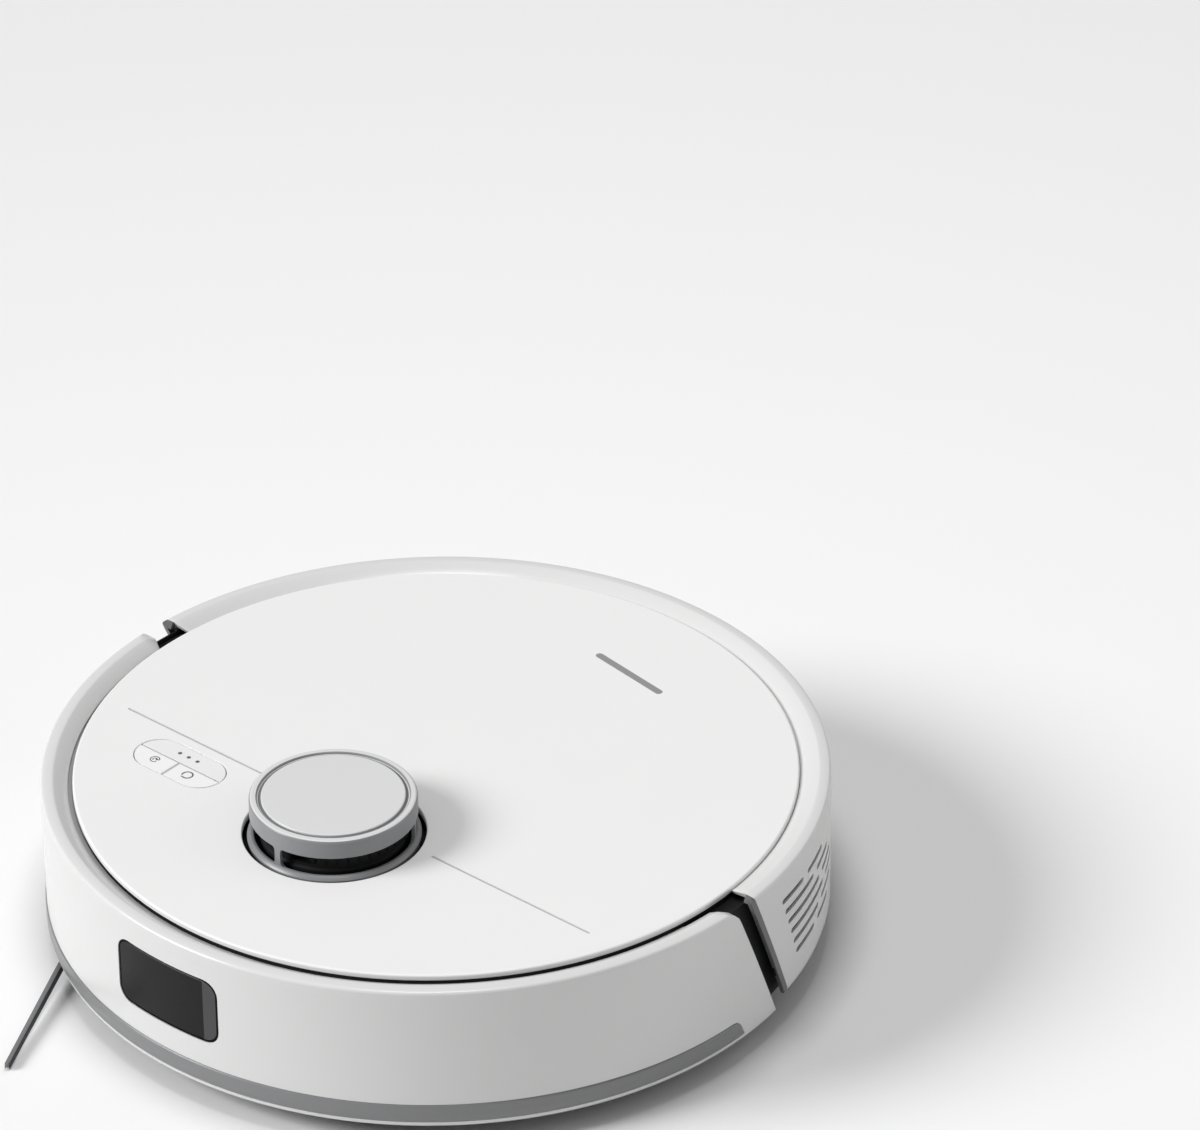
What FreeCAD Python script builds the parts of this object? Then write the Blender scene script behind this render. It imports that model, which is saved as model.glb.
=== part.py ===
import FreeCAD, Part
import math
import os

# Robot vacuum, millimetres. +Z is up, the origin is on the floor under the body's axis,
# the robot drives towards -Y and its left side is +X.

V = FreeCAD.Vector
UP = V(0, 0, 1)
ALONG_X = V(1, 0, 0)
ALONG_Y = V(0, 1, 0)

os.makedirs("parts", exist_ok=True)

# ---- Driving dimensions ------------------------------------------------------------------

BODY_R = 175.0            # outer wall of bumper and rear shell
WALL = 2.5                # thickness of the outer shells
COVER_R = 160.9           # top disc
COVER_TOP = 80.0
COVER_THICK = 2.9
BEAD_TOP = 81.2           # crest of the rounded rim around the disc
BUMPER_BOTTOM = 10.6
REAR_BOTTOM = 15.0
BUMPER_TRAVEL = 2.5

EDGE_SLOPE = 0.435        # the gap between bumper and rear shell leans back as it goes down
BUMPER_EDGE_Y = -2.3      # y of the bumper's end at the disc's height
REAR_EDGE_Y = 10.2        # y of the rear shell's end at the disc's height
TRIM_WIDTH = 3.2

CHASSIS_R = 166.0         # inner chassis wall behind the outer shells
CHASSIS_WALL = 2.5
PLATE_BOTTOM = 11.0
PLATE_TOP = 13.5
DECK_BOTTOM = 72.3
DECK_TOP = 74.8

TURRET_Y = -66.8
TURRET_TOP = 98.7
TURRET_R = 36.9
TURRET_HOLE_R = 40.4
POST_ANGLES = (-90, 30, 150)
LEG_ANGLES = (30, 150, -90)
LIDAR_MOTOR_X = 40.0
LIDAR_MOTOR_Y = -96.0

BUTTONS_X = -88.0
BUTTONS_Y = -72.0
CAPSULE_LENGTH = 47.4
CAPSULE_WIDTH = 22.7
BUTTON_GAP = 0.5

WHEEL_X = 110.0
WHEEL_R = 33.0
WHEEL_WIDTH = 20.0
ARM_PIVOT_Y = -52.0
ARM_PIVOT_Z = 40.0

BRUSH_Y = 66.0
BRUSH_Z = 22.0
BRUSH_CORE_R = 9.0
BRUSH_TIP_R = 21.4
BRUSH_HALF = 80.0

CASTOR_Y = -134.0
CASTOR_R = 14.0
CASTOR_TRAIL = 7.0
CASTOR_WELL_R = 24.4
CASTOR_STEM_R = 4.0

SIDE_BRUSH_X = -96.0
SIDE_BRUSH_Y = -118.0
SIDE_BRUSH_REACH = 98.0
SIDE_BRUSH_OFFSET = 11.0
SIDE_BRUSH_ANGLE = -64.5

BIN_HALF = 80.0
BIN_FRONT = 98.5
BIN_BOTTOM = 18.0
BIN_TOP = 63.0
FACE_HALF = 84.0
FACE_TOP = 66.0

FAN_X = 118.0
FAN_Y = 74.0

RUNNING = 0.08            # gap all round between a shaft and its bore


# ---- Solids ------------------------------------------------------------------------------

def block(x0, x1, y0, y1, z0, z1):
    return Part.makeBox(x1 - x0, y1 - y0, z1 - z0, V(x0, y0, z0))


def disc(radius, z0, z1, x=0.0, y=0.0):
    return Part.makeCylinder(radius, z1 - z0, V(x, y, z0), UP)


def ring(outer, inner, z0, z1, x=0.0, y=0.0):
    return disc(outer, z0, z1, x, y).cut(disc(inner, z0 - 1, z1 + 1, x, y))


def rod_x(radius, x0, x1, y, z):
    return Part.makeCylinder(radius, x1 - x0, V(x0, y, z), ALONG_X)


def rod_y(radius, y0, y1, x, z):
    return Part.makeCylinder(radius, y1 - y0, V(x, y0, z), ALONG_Y)


def tube_x(outer, inner, x0, x1, y, z):
    return rod_x(outer, x0, x1, y, z).cut(rod_x(inner, x0 - 1, x1 + 1, y, z))


def outline(start, *steps):
    """Closed face in the XZ plane. A step is an end point, or a (middle, end) pair for an arc."""
    edges = []
    here = V(start[0], 0, start[1])
    for step in steps + (start,):
        if isinstance(step[0], tuple):
            middle, end = (V(p[0], 0, p[1]) for p in step)
            edges.append(Part.Arc(here, middle, end).toShape())
        else:
            end = V(step[0], 0, step[1])
            edges.append(Part.makeLine(here, end))
        here = end
    return Part.Face(Part.Wire(edges))


def turned(face, x=0.0, y=0.0):
    """The face swept once around the vertical axis at (x, y)."""
    solid = face.revolve(V(0, 0, 0), UP, 360)
    solid.translate(V(x, y, 0))
    return solid


def turned_x(face, y, z):
    """The face swept around the axis along X at (y, z): its first coordinate is the radius."""
    solid = face.revolve(V(0, 0, 0), UP, 360)
    solid.rotate(V(0, 0, 0), ALONG_Y, 90)
    solid.translate(V(0, y, z))
    return solid


def prism_x(points, x0, x1):
    """A polygon of (y, z) points, stretched from x0 to x1."""
    corners = [V(x0, y, z) for y, z in points]
    face = Part.Face(Part.makePolygon(corners + corners[:1]))
    return face.extrude(V(x1 - x0, 0, 0))


def prism_z(points, z0, z1):
    """A polygon of (x, y) points, stretched from z0 to z1."""
    corners = [V(x, y, z0) for x, y in points]
    face = Part.Face(Part.makePolygon(corners + corners[:1]))
    return face.extrude(V(0, 0, z1 - z0))


def strap_points(x1, y1, r1, x2, y2, r2):
    """The four points where the two outer tangents touch two circles."""
    along = math.atan2(y2 - y1, x2 - x1)
    open_by = math.acos((r1 - r2) / math.hypot(x2 - x1, y2 - y1))
    points = []
    for x, y, radius, side in ((x1, y1, r1, 1), (x1, y1, r1, -1), (x2, y2, r2, -1), (x2, y2, r2, 1)):
        angle = along + side * open_by
        points.append((x + radius * math.cos(angle), y + radius * math.sin(angle)))
    return points


def strap_z(x1, y1, r1, x2, y2, r2, z0, z1):
    """Upright plate whose outline wraps two circles."""
    plate = disc(r1, z0, z1, x1, y1).fuse(disc(r2, z0, z1, x2, y2))
    plate = plate.fuse(prism_z(strap_points(x1, y1, r1, x2, y2, r2), z0, z1))
    return plate.removeSplitter()


def strap_x(y1, z1, r1, y2, z2, r2, x0, x1):
    """Plate square to X whose outline wraps two circles."""
    plate = rod_x(r1, x0, x1, y1, z1).fuse(rod_x(r2, x0, x1, y2, z2))
    plate = plate.fuse(prism_x(strap_points(y1, z1, r1, y2, z2, r2), x0, x1))
    return plate.removeSplitter()


def stadium(x, y, length, width, z0, z1):
    """Upright capsule, long along X."""
    radius = width / 2
    reach = length / 2 - radius
    middle = block(x - reach, x + reach, y - radius, y + radius, z0, z1)
    ends = disc(radius, z0, z1, x - reach, y).fuse(disc(radius, z0, z1, x + reach, y))
    return middle.fuse(ends).removeSplitter()


def rounded_window(x0, x1, z0, z1, radius, y0, y1):
    """Block along Y with its four long edges rounded."""
    solid = block(x0, x1, y0, y1, z0, z1)
    long_edges = [e for e in solid.Edges if abs(e.tangentAt(e.FirstParameter).y) > 0.99]
    return solid.makeFillet(radius, long_edges)


def fillet_at(solid, radius, chosen):
    """The solid with a round on every edge whose middle the test accepts."""
    edges = [e for e in solid.Edges if chosen(e.valueAt((e.FirstParameter + e.LastParameter) / 2), e)]
    return solid.makeFillet(radius, edges)


def polar(radius, degrees, x=0.0, y=0.0):
    return x + radius * math.cos(math.radians(degrees)), y + radius * math.sin(math.radians(degrees))


def mirrored(shape):
    return shape.mirror(V(0, 0, 0), ALONG_X)


def turn_z(shape, degrees, x=0.0, y=0.0):
    shape = shape.copy()
    shape.rotate(V(x, y, 0), UP, degrees)
    return shape


def joined(shapes):
    shapes = list(shapes)
    return shapes[0].fuse(shapes[1:]).removeSplitter() if len(shapes) > 1 else shapes[0]


def without(shape, tools):
    return shape.cut(list(tools))


def save(name, *solids):
    shape = solids[0] if len(solids) == 1 else Part.makeCompound(list(solids))
    for solid in shape.Solids:
        assert solid.isValid() and solid.Volume > 0, name
    assert shape.Solids, name
    shape.exportStep("parts/" + name + ".step")


# ---- Outer shells ------------------------------------------------------------------------

def bumper_edge_y(z):
    return BUMPER_EDGE_Y + EDGE_SLOPE * (COVER_TOP - z)


def rear_edge_y(z):
    return REAR_EDGE_Y + EDGE_SLOPE * (COVER_TOP - z)


def beside_edge(edge_y, far_y, corner_r):
    """Everything from far_y to a leaning edge, with the edge's upper corner rounded."""
    low, wide = 0, 200
    points = [(far_y, low), (edge_y(low), low), (edge_y(BEAD_TOP), BEAD_TOP), (far_y, BEAD_TOP)]
    solid = prism_x(points, -wide, wide)
    if not corner_r:
        return solid
    return fillet_at(
        solid, corner_r, lambda m, e: abs(m.z - BEAD_TOP) < 0.01 and abs(m.y - edge_y(BEAD_TOP)) < 0.01
    )


def shell_face(bottom, chamfer, foot_r, foot_z):
    """Section of an outer shell: upright wall, rounded rim, slope down towards the disc."""
    inner = BODY_R - WALL
    return outline(
        (inner, bottom),
        (BODY_R - chamfer, bottom),
        (BODY_R, bottom + chamfer * 1.3),
        (BODY_R, 77.0),
        ((173.75, 80.0), (170.6, BEAD_TOP)),
        (168.6, BEAD_TOP),
        (foot_r, foot_z),
        (foot_r, 75.4),
        (foot_r + 1.9, 75.4),
        (168.5, 78.0),
        (170.3, 78.0),
        (inner, 75.8),
    )


WINDOW_X0 = -30.4         # the sensor window sits a hair right of the middle
WINDOW_X1 = 28.6
WINDOW_Z0 = 35.0
WINDOW_Z1 = 67.8
WINDOW_CORNER = 7.5
STRIP_Z0 = 13.7
STRIP_Z1 = 22.5
STRIP_DEPTH = 1.2
STRIP_BACK = 23.6         # the strip ends this far in front of the bumper's own end


def bumper_parts():
    body = turned(shell_face(BUMPER_BOTTOM, 1.5, 163.6, 77.0)).common(beside_edge(bumper_edge_y, -200, 9.0))
    window_hole = rounded_window(WINDOW_X0, WINDOW_X1, WINDOW_Z0, WINDOW_Z1, WINDOW_CORNER, -180, -160)

    def strip_edge_y(z):
        return bumper_edge_y(z) - STRIP_BACK

    reach = beside_edge(strip_edge_y, -200, 0)
    groove = ring(BODY_R + 5, BODY_R - STRIP_DEPTH, STRIP_Z0, STRIP_Z1).common(reach)
    save("bumper_shell", without(body, [window_hole, groove]))

    bead = outline(
        (BODY_R - STRIP_DEPTH, STRIP_Z0),
        (BODY_R + 0.2, STRIP_Z0),
        (BODY_R + 0.6, STRIP_Z0 + 0.9),
        (BODY_R + 0.6, STRIP_Z1 - 1.6),
        (BODY_R + 0.1, STRIP_Z1),
        (BODY_R - STRIP_DEPTH, STRIP_Z1),
    )
    save("bumper_strip", turned(bead).common(reach))

    pane = ring(BODY_R - 0.25, BODY_R - WALL + 0.3, WINDOW_Z0, WINDOW_Z1)
    fitted = rounded_window(
        WINDOW_X0 + 0.1, WINDOW_X1 - 0.1, WINDOW_Z0 + 0.1, WINDOW_Z1 - 0.1, WINDOW_CORNER, -180, -160
    )
    save("sensor_window", pane.common(fitted))


# Each row of side vents: height, then where its first slot starts and ends and where the
# second one ends, as angles back from the robot's left side.
VENT_PITCH = 6.8
VENT_TOP_Z = 65.6
VENT_HEIGHT = 2.0
VENT_BRIDGE = 1.8
VENT_ROWS = (
    (10.6, 17.5, 26.3),
    (11.5, 21.9, 30.5),
    (12.5, 25.0, 33.5),
    (13.4, 27.5, 35.5),
    (14.3, 24.6, 34.0),
    (15.2, 22.5, 31.0),
)


def sector(radius, first, last, z0, z1):
    """Pie slice between two angles."""
    spread = last - first
    pie = Part.makeCylinder(radius, z1 - z0, V(0, 0, z0), UP, spread)
    return turn_z(pie, first)


def vent_slots():
    slots = []
    for row, (first, split, last) in enumerate(VENT_ROWS):
        z = VENT_TOP_Z - row * VENT_PITCH
        for a, b in ((first, split), (split + VENT_BRIDGE, last)):
            slot = sector(BODY_R + 5, a, b, z - VENT_HEIGHT / 2, z + VENT_HEIGHT / 2)
            slots.append(slot.cut(disc(BODY_R - WALL - 2, 0, 90)))
    return slots


def rear_parts():
    whole = turned(shell_face(REAR_BOTTOM, 1.6, 162.6, 77.4))
    rear = whole.common(beside_edge(rear_edge_y, 200, 0))
    left = vent_slots()
    face_opening = block(-FACE_HALF - 0.8, FACE_HALF + 0.8, 100, 200, 0, FACE_TOP + 0.8)
    save("rear_shell", without(rear, left + [mirrored(s) for s in left] + [face_opening]))

    def trim_edge_y(z):
        return rear_edge_y(z) - TRIM_WIDTH

    strips = whole.common(beside_edge(trim_edge_y, 200, 5.0)).cut(beside_edge(rear_edge_y, 200, 0))
    save("gap_trims", *strips.Solids)


# ---- Chassis -----------------------------------------------------------------------------

MODULE_X0 = 50.0          # wheel module's bay, inner size
MODULE_X1 = 126.0
MODULE_Y0 = -66.0
MODULE_Y1 = 39.0
MODULE_TOP = 69.0
MODULE_WALL = 1.6
BATTERY_HALF = 44.0
BATTERY_Y0 = -92.0
BATTERY_Y1 = -24.0
HATCH_HALF = 47.0
HATCH_Y0 = -97.0
HATCH_Y1 = -19.0
MOUTH_HALF = 84.0         # roller brush opening
MOUTH_Y0 = 42.8
MOUTH_Y1 = 89.2
CLIFF_ANGLES = (-158, -112, -68, -22)
CLIFF_R = 155.0
CONTACT_X = 100.0
CONTACT_Y = 112.0
SWITCH_ANGLE = 52.0       # bumper switches, either side of straight ahead
SCREW_PLACES = (
    (-40, -150), (40, -150), (-138, -80), (138, -80), (-145, 30), (145, 30),
    (-60, -112), (60, -112), (-91, 128), (91, 128),
)


def cliff_window(degrees, grow, z0, z1):
    x, y = polar(CLIFF_R, degrees)
    return turn_z(stadium(x, y, 20 + 2 * grow, 8 + 2 * grow, z0, z1), degrees + 90, x, y)


def module_opening(grow, z0, z1):
    return block(MODULE_X0 - grow, MODULE_X1 + grow, MODULE_Y0 - grow, MODULE_Y1 + grow, z0, z1)


def base_plate():
    plate = turned(outline(
        (0, PLATE_BOTTOM),
        (CHASSIS_R - 4, PLATE_BOTTOM),
        (CHASSIS_R, PLATE_TOP - 0.5),
        (CHASSIS_R, PLATE_TOP),
        (0, PLATE_TOP),
    ))
    cup = disc(CASTOR_WELL_R + 2, PLATE_TOP, 36.2, 0, CASTOR_Y).fuse(disc(7.0, 36.0, 46.0, 0, CASTOR_Y))
    plate = plate.fuse(cup).removeSplitter()
    module = module_opening(0, 5, 20)
    holes = [
        module,
        mirrored(module),
        block(-MOUTH_HALF, MOUTH_HALF, MOUTH_Y0, MOUTH_Y1, 5, 20),
        block(-HATCH_HALF, HATCH_HALF, HATCH_Y0, HATCH_Y1, 5, 20),
        disc(CASTOR_WELL_R, 5, 34, 0, CASTOR_Y),
        disc(CASTOR_STEM_R + RUNNING, 30, 50, 0, CASTOR_Y),
        disc(4.0, 5, 20, SIDE_BRUSH_X, SIDE_BRUSH_Y),
    ]
    holes += [cliff_window(a, 0, 5, 20) for a in CLIFF_ANGLES]
    for side in (-1, 1):
        holes.append(stadium(side * CONTACT_X, CONTACT_Y, 22, 9, 5, 20))
    for x, y in SCREW_PLACES:
        holes.append(disc(1.7, 5, 20, x, y))
        holes.append(disc(3.3, 5, PLATE_BOTTOM + 1.4, x, y))
    save("base_plate", without(plate, holes))

    save("cliff_windows", *[cliff_window(a, -0.1, PLATE_BOTTOM + 0.3, PLATE_TOP) for a in CLIFF_ANGLES])
    contacts = [stadium(side * CONTACT_X, CONTACT_Y, 21.8, 8.8, PLATE_BOTTOM + 0.2, PLATE_TOP)
                for side in (-1, 1)]
    save("charge_contacts", *contacts)
    screws = []
    for x, y in SCREW_PLACES:
        head = disc(3.0, PLATE_BOTTOM + 0.1, PLATE_BOTTOM + 1.3, x, y)
        slot = [block(x - 1.9, x + 1.9, y - 0.4, y + 0.4, 5, PLATE_BOTTOM + 0.8)]
        slot.append(block(x - 0.4, x + 0.4, y - 1.9, y + 1.9, 5, PLATE_BOTTOM + 0.8))
        screws.append(without(head.fuse(disc(1.5, PLATE_BOTTOM + 1.2, PLATE_TOP + 6, x, y)), slot))
    save("base_screws", *screws)


def upper_chassis():
    wall = ring(CHASSIS_R, CHASSIS_R - CHASSIS_WALL, PLATE_TOP, DECK_TOP)
    deck = disc(CHASSIS_R, DECK_BOTTOM, DECK_TOP)
    flange = ring(168.0, CHASSIS_R - 1, DECK_TOP - 1.3, DECK_TOP)
    openings = [
        strap_z(0, TURRET_Y, 43.0, LIDAR_MOTOR_X, LIDAR_MOTOR_Y, 9.5, 60, 80),
        block(BUTTONS_X - 26, BUTTONS_X + 26, BUTTONS_Y - 14, BUTTONS_Y + 14, 60, 80),
        block(-FACE_HALF - 4, FACE_HALF + 4, 90, 180, 0, FACE_TOP + 2.5),
        block(-34, 34, -180, -150, 32, 70.5),
    ]
    for side in (-1, 1):
        openings.append(turn_z(block(140, 180, -3, 3, 44, 50), -90 + side * SWITCH_ANGLE))
    rib = ring(160.5, 156.0, DECK_TOP - 0.5, COVER_TOP - COVER_THICK)
    save("upper_chassis", without(wall.fuse([deck, flange, rib]).removeSplitter(), openings))


def bumper_switches():
    switches = []
    for side in (-1, 1):
        body = block(152, 163, -6, 6, 43, 51)
        plunger = rod_x(1.6, 162, 170.6, 0, 47)
        switches.append(turn_z(body.fuse(plunger), -90 + side * SWITCH_ANGLE))
    save("bumper_switches", *switches)


def front_sensor():
    housing = block(-28, 26, -161, -146, 37, 66)
    cap = rod_y(7.0, -164, -160, -14, 52)
    laser_a = rod_y(3.2, -163, -160, 6, 52)
    laser_b = rod_y(3.2, -163, -160, 18, 52)
    save("front_sensor", joined([housing, cap, laser_a, laser_b]))


# ---- Top cover, keys and lights ----------------------------------------------------------

SEAM_Y = -54.5
SEAM_HALF = 136.6
SEAM_INNER = 46.0
LED_X = (-93.6, -88.3, -83.0)
LED_Y = -66.0
SPLIT_X = -88.3
DIVIDER_Y = -71.7
KEY_TRAVEL = 0.8


def capsule(grow, z0, z1):
    return stadium(BUTTONS_X, BUTTONS_Y, CAPSULE_LENGTH + 2 * grow, CAPSULE_WIDTH + 2 * grow, z0, z1)


def top_parts():
    low = COVER_TOP - COVER_THICK
    cover = turned(outline(
        (0, low),
        (COVER_R - 0.4, low),
        (COVER_R, low + 0.4),
        (COVER_R, COVER_TOP - 0.9),
        ((COVER_R - 0.27, COVER_TOP - 0.27), (COVER_R - 0.9, COVER_TOP)),
        (0, COVER_TOP),
    ))
    cuts = [
        disc(TURRET_HOLE_R, 70, 90, 0, TURRET_Y),
        capsule(0.25, 70, 90),
    ]
    for a, b in ((-SEAM_HALF, -SEAM_INNER), (SEAM_INNER, SEAM_HALF)):
        cuts.append(block(a, b, SEAM_Y - 0.4, SEAM_Y + 0.4, COVER_TOP - 0.7, 90))
    save("top_cover", without(cover, cuts))

    half_gap = BUTTON_GAP / 2
    upper_half = block(-150, -20, DIVIDER_Y + half_gap, -40, 60, 90)
    capsule_plate = capsule(0, low, COVER_TOP).fuse(capsule(3.0, low - 1.6, low)).removeSplitter()
    panel = capsule_plate.common(upper_half)
    holes = [disc(0.75, 60, 90, x, LED_Y) for x in LED_X]
    save("button_panel", without(panel, holes))

    lower_half = block(-150, -20, -100, DIVIDER_Y - half_gap, 60, 90)
    keys = capsule(0, low + 0.9, COVER_TOP).common(lower_half)
    sides = {
        "key_spot": (block(-150, SPLIT_X - half_gap, -100, -40, 60, 90), -99.0),
        "key_home": (block(SPLIT_X + half_gap, -20, -100, -40, 60, 90), -77.6),
    }
    switches = []
    for name, (side, stem_x) in sides.items():
        stem = disc(1.6, 76.3, low + 1.0, stem_x, -76.8)
        save(name, keys.common(side).fuse(stem).removeSplitter())
        switches.append(block(stem_x - 2.5, stem_x + 2.5, -79.3, -74.3, 74.0, 75.3))
    return switches


# ---- Lidar turret ------------------------------------------------------------------------

PULLEY_R = 30.0
MOTOR_PULLEY_R = 5.0
BELT = 1.2
BELT_Z0 = 72.4
BELT_Z1 = 75.2
SPINDLE_R = 4.0
MOTOR_SHAFT_R = 1.0
SLOT_LOW = 80.5
SLOT_HIGH = 89.6


def turret():
    band = turned(outline(
        (0, 95.5),
        (34.2, 95.5),
        (34.2, SLOT_HIGH),
        (TURRET_R, SLOT_HIGH),
        (TURRET_R, TURRET_TOP - 1.6),
        ((TURRET_R - 0.5, TURRET_TOP - 0.45), (TURRET_R - 1.7, TURRET_TOP)),
        (33.2, TURRET_TOP),
        (32.9, TURRET_TOP - 0.8),
        (0, TURRET_TOP - 0.8),
    ), 0, TURRET_Y)
    foot = turned(outline(
        (34.3, 77.8),
        (36.2, 76.8),
        (38.2, 76.8),
        (38.2, 79.2),
        (36.8, SLOT_LOW),
        (34.3, SLOT_LOW),
    ), 0, TURRET_Y)
    wall = ring(36.5, 34.3, SLOT_LOW - 0.5, SLOT_HIGH + 0.5, 0, TURRET_Y)
    post = block(30, 40, TURRET_Y - 1.5, TURRET_Y + 1.5, SLOT_LOW - 0.5, SLOT_HIGH + 0.5)
    posts = [wall.common(turn_z(post, a, 0, TURRET_Y)) for a in POST_ANGLES]
    legs = [disc(1.0, 71.6, 77.5, *polar(37.1, a, 0, TURRET_Y)) for a in LEG_ANGLES]
    save("turret_cover", joined([band, foot] + posts + legs))
    save("turret_lid", turned(outline(
        (0, TURRET_TOP - 0.8),
        (31.8, TURRET_TOP - 0.8),
        (31.8, TURRET_TOP - 0.3),
        (31.5, TURRET_TOP),
        (0, TURRET_TOP),
    ), 0, TURRET_Y))

    plate = strap_z(0, TURRET_Y, 47, LIDAR_MOTOR_X, LIDAR_MOTOR_Y, 13, 68.4, DECK_BOTTOM)
    plate = plate.cut(strap_z(0, TURRET_Y, 44.5, LIDAR_MOTOR_X, LIDAR_MOTOR_Y, 10.5, 70.2, 80))
    plate = plate.fuse(disc(8.0, 66.0, 71.0, 0, TURRET_Y)).removeSplitter()
    bores = [disc(SPINDLE_R + RUNNING, 60, 80, 0, TURRET_Y),
             disc(3.0, 60, 80, LIDAR_MOTOR_X, LIDAR_MOTOR_Y)]
    save("lidar_base", without(plate, bores))

    head = turned(outline(
        (0, 66.2),
        (SPINDLE_R, 66.2),
        (SPINDLE_R, 71.3),
        (PULLEY_R + 1.6, 71.3),
        (PULLEY_R + 1.6, 71.9),
        (PULLEY_R, BELT_Z0 - 0.2),
        (PULLEY_R, BELT_Z1 + 0.2),
        (PULLEY_R + 1.6, 76.0),
        (PULLEY_R + 1.6, 77.4),
        (32.6, 78.6),
        (32.6, 80.4),
        (31.4, 81.2),
        (31.4, 91.6),
        (30.0, 93.0),
        (0, 93.0),
    ), 0, TURRET_Y)
    emitter = block(-11, -1, TURRET_Y - 40, TURRET_Y - 29.4, 83.0, 90.0)
    receiver = block(3, 15, TURRET_Y - 40, TURRET_Y - 27.4, 82.6, 90.6)
    save("lidar_head", without(head, [emitter, receiver]))

    outer = strap_z(0, TURRET_Y, PULLEY_R + BELT + 0.05, LIDAR_MOTOR_X, LIDAR_MOTOR_Y,
                    MOTOR_PULLEY_R + BELT + 0.05, BELT_Z0, BELT_Z1)
    inner = strap_z(0, TURRET_Y, PULLEY_R + 0.05, LIDAR_MOTOR_X, LIDAR_MOTOR_Y,
                    MOTOR_PULLEY_R + 0.05, BELT_Z0 - 1, BELT_Z1 + 1)
    save("lidar_belt", outer.cut(inner))
    rim = MOTOR_PULLEY_R + 1.2
    small = turned(outline(
        (0, 61.0), (MOTOR_SHAFT_R, 61.0), (MOTOR_SHAFT_R, 71.4), (rim, 71.4), (rim, 71.9),
        (MOTOR_PULLEY_R, BELT_Z0 - 0.2), (MOTOR_PULLEY_R, BELT_Z1 + 0.2),
        (rim, 75.8), (rim, 76.3), (0, 76.3),
    ), LIDAR_MOTOR_X, LIDAR_MOTOR_Y)
    save("lidar_motor_pulley", small)
    can = disc(9.5, 55.0, 68.4, LIDAR_MOTOR_X, LIDAR_MOTOR_Y)
    save("lidar_motor", can.cut(disc(MOTOR_SHAFT_R + RUNNING, 60.5, 70, LIDAR_MOTOR_X, LIDAR_MOTOR_Y)))


# ---- Wheel modules -----------------------------------------------------------------------

GEAR_MODULE = 1.0
DRIVE_TEETH = 40
PINION_TEETH = 12
GEAR_X0 = 84.0
GEAR_X1 = 92.0
CASE_X0 = 81.0
CASE_X1 = 96.0
AXLE_R = 3.0
ARM_PIN_R = 2.95
SPRING_LENGTH = 13.0
MOTOR_RISE = 6.0          # the motor's shaft sits this far above the wheel's


def gear_outline(teeth, centre_y, centre_z, turn, slack):
    """Tooth outline: straight flanks from root to tip circle, thinned by the slack for backlash."""
    pitch = GEAR_MODULE * teeth / 2
    tip = pitch + GEAR_MODULE * 0.95
    root = pitch - GEAR_MODULE * 1.15
    step = 2 * math.pi / teeth
    thin = slack / pitch
    points = []
    for tooth in range(teeth):
        middle = turn + tooth * step
        flanks = ((root, -0.36), (pitch, -0.25), (tip, -0.13), (tip, 0.13), (pitch, 0.25), (root, 0.36))
        for radius, share in flanks:
            angle = middle + share * step - math.copysign(thin / 2, share)
            points.append((centre_y + radius * math.cos(angle), centre_z + radius * math.sin(angle)))
    return points


def gear(teeth, centre_y, centre_z, turn, x0, x1, slack=0.18):
    return prism_x(gear_outline(teeth, centre_y, centre_z, turn, slack), x0, x1)


def meshed_turn(teeth, towards, other_teeth, other_turn):
    """Phase of a second gear so that one of its gaps faces a tooth of the first one."""
    step = 2 * math.pi / teeth
    other_step = 2 * math.pi / other_teeth
    offset = ((towards - other_turn) / other_step) % 1.0
    return towards + math.pi + step / 2 + offset * step


def torsion_spring(x):
    """Coil around the arm's pin, as one closed ridged sleeve, with a straight leg up to the bay's roof."""
    coil_r = 7.4
    wire_r = 0.8
    turns = 5
    pitch = SPRING_LENGTH / turns
    ridges = []
    for turn in range(turns):
        start = turn * pitch
        ridges.append(((coil_r + wire_r, start + pitch / 2), (coil_r, start + pitch)))
    face = outline((coil_r - wire_r, 0), (coil_r, 0), *ridges, (coil_r - wire_r, SPRING_LENGTH))
    coil = turned_x(face, ARM_PIVOT_Y, ARM_PIVOT_Z)
    leg_y = ARM_PIVOT_Y - coil_r
    leg = disc(wire_r, ARM_PIVOT_Z, ARM_PIVOT_Z + 20, pitch / 2, leg_y)
    leg = leg.cut(rod_x(coil_r, 0, pitch, ARM_PIVOT_Y, ARM_PIVOT_Z))
    spring = coil.fuse(leg).removeSplitter()
    spring.translate(V(x, 0, 0))
    return spring


def wheel_bays():
    """The two bays over the wheels, with the arms' pins and springs."""
    well = module_opening(MODULE_WALL, PLATE_TOP, MODULE_TOP + MODULE_WALL)
    well = well.cut(module_opening(0, 0, MODULE_TOP))
    well = well.cut(rod_x(ARM_PIN_R + 0.05, 0, 200, ARM_PIVOT_Y, ARM_PIVOT_Z))
    save("wheel_wells", well, mirrored(well))
    pin = rod_x(ARM_PIN_R, MODULE_X0 - 2.5, MODULE_X1 + 2.5, ARM_PIVOT_Y, ARM_PIVOT_Z)
    save("arm_pins", pin, mirrored(pin))
    spring_x = CASE_X1 + 1.5
    save("arm_springs", torsion_spring(spring_x), torsion_spring(-spring_x - SPRING_LENGTH))


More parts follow.
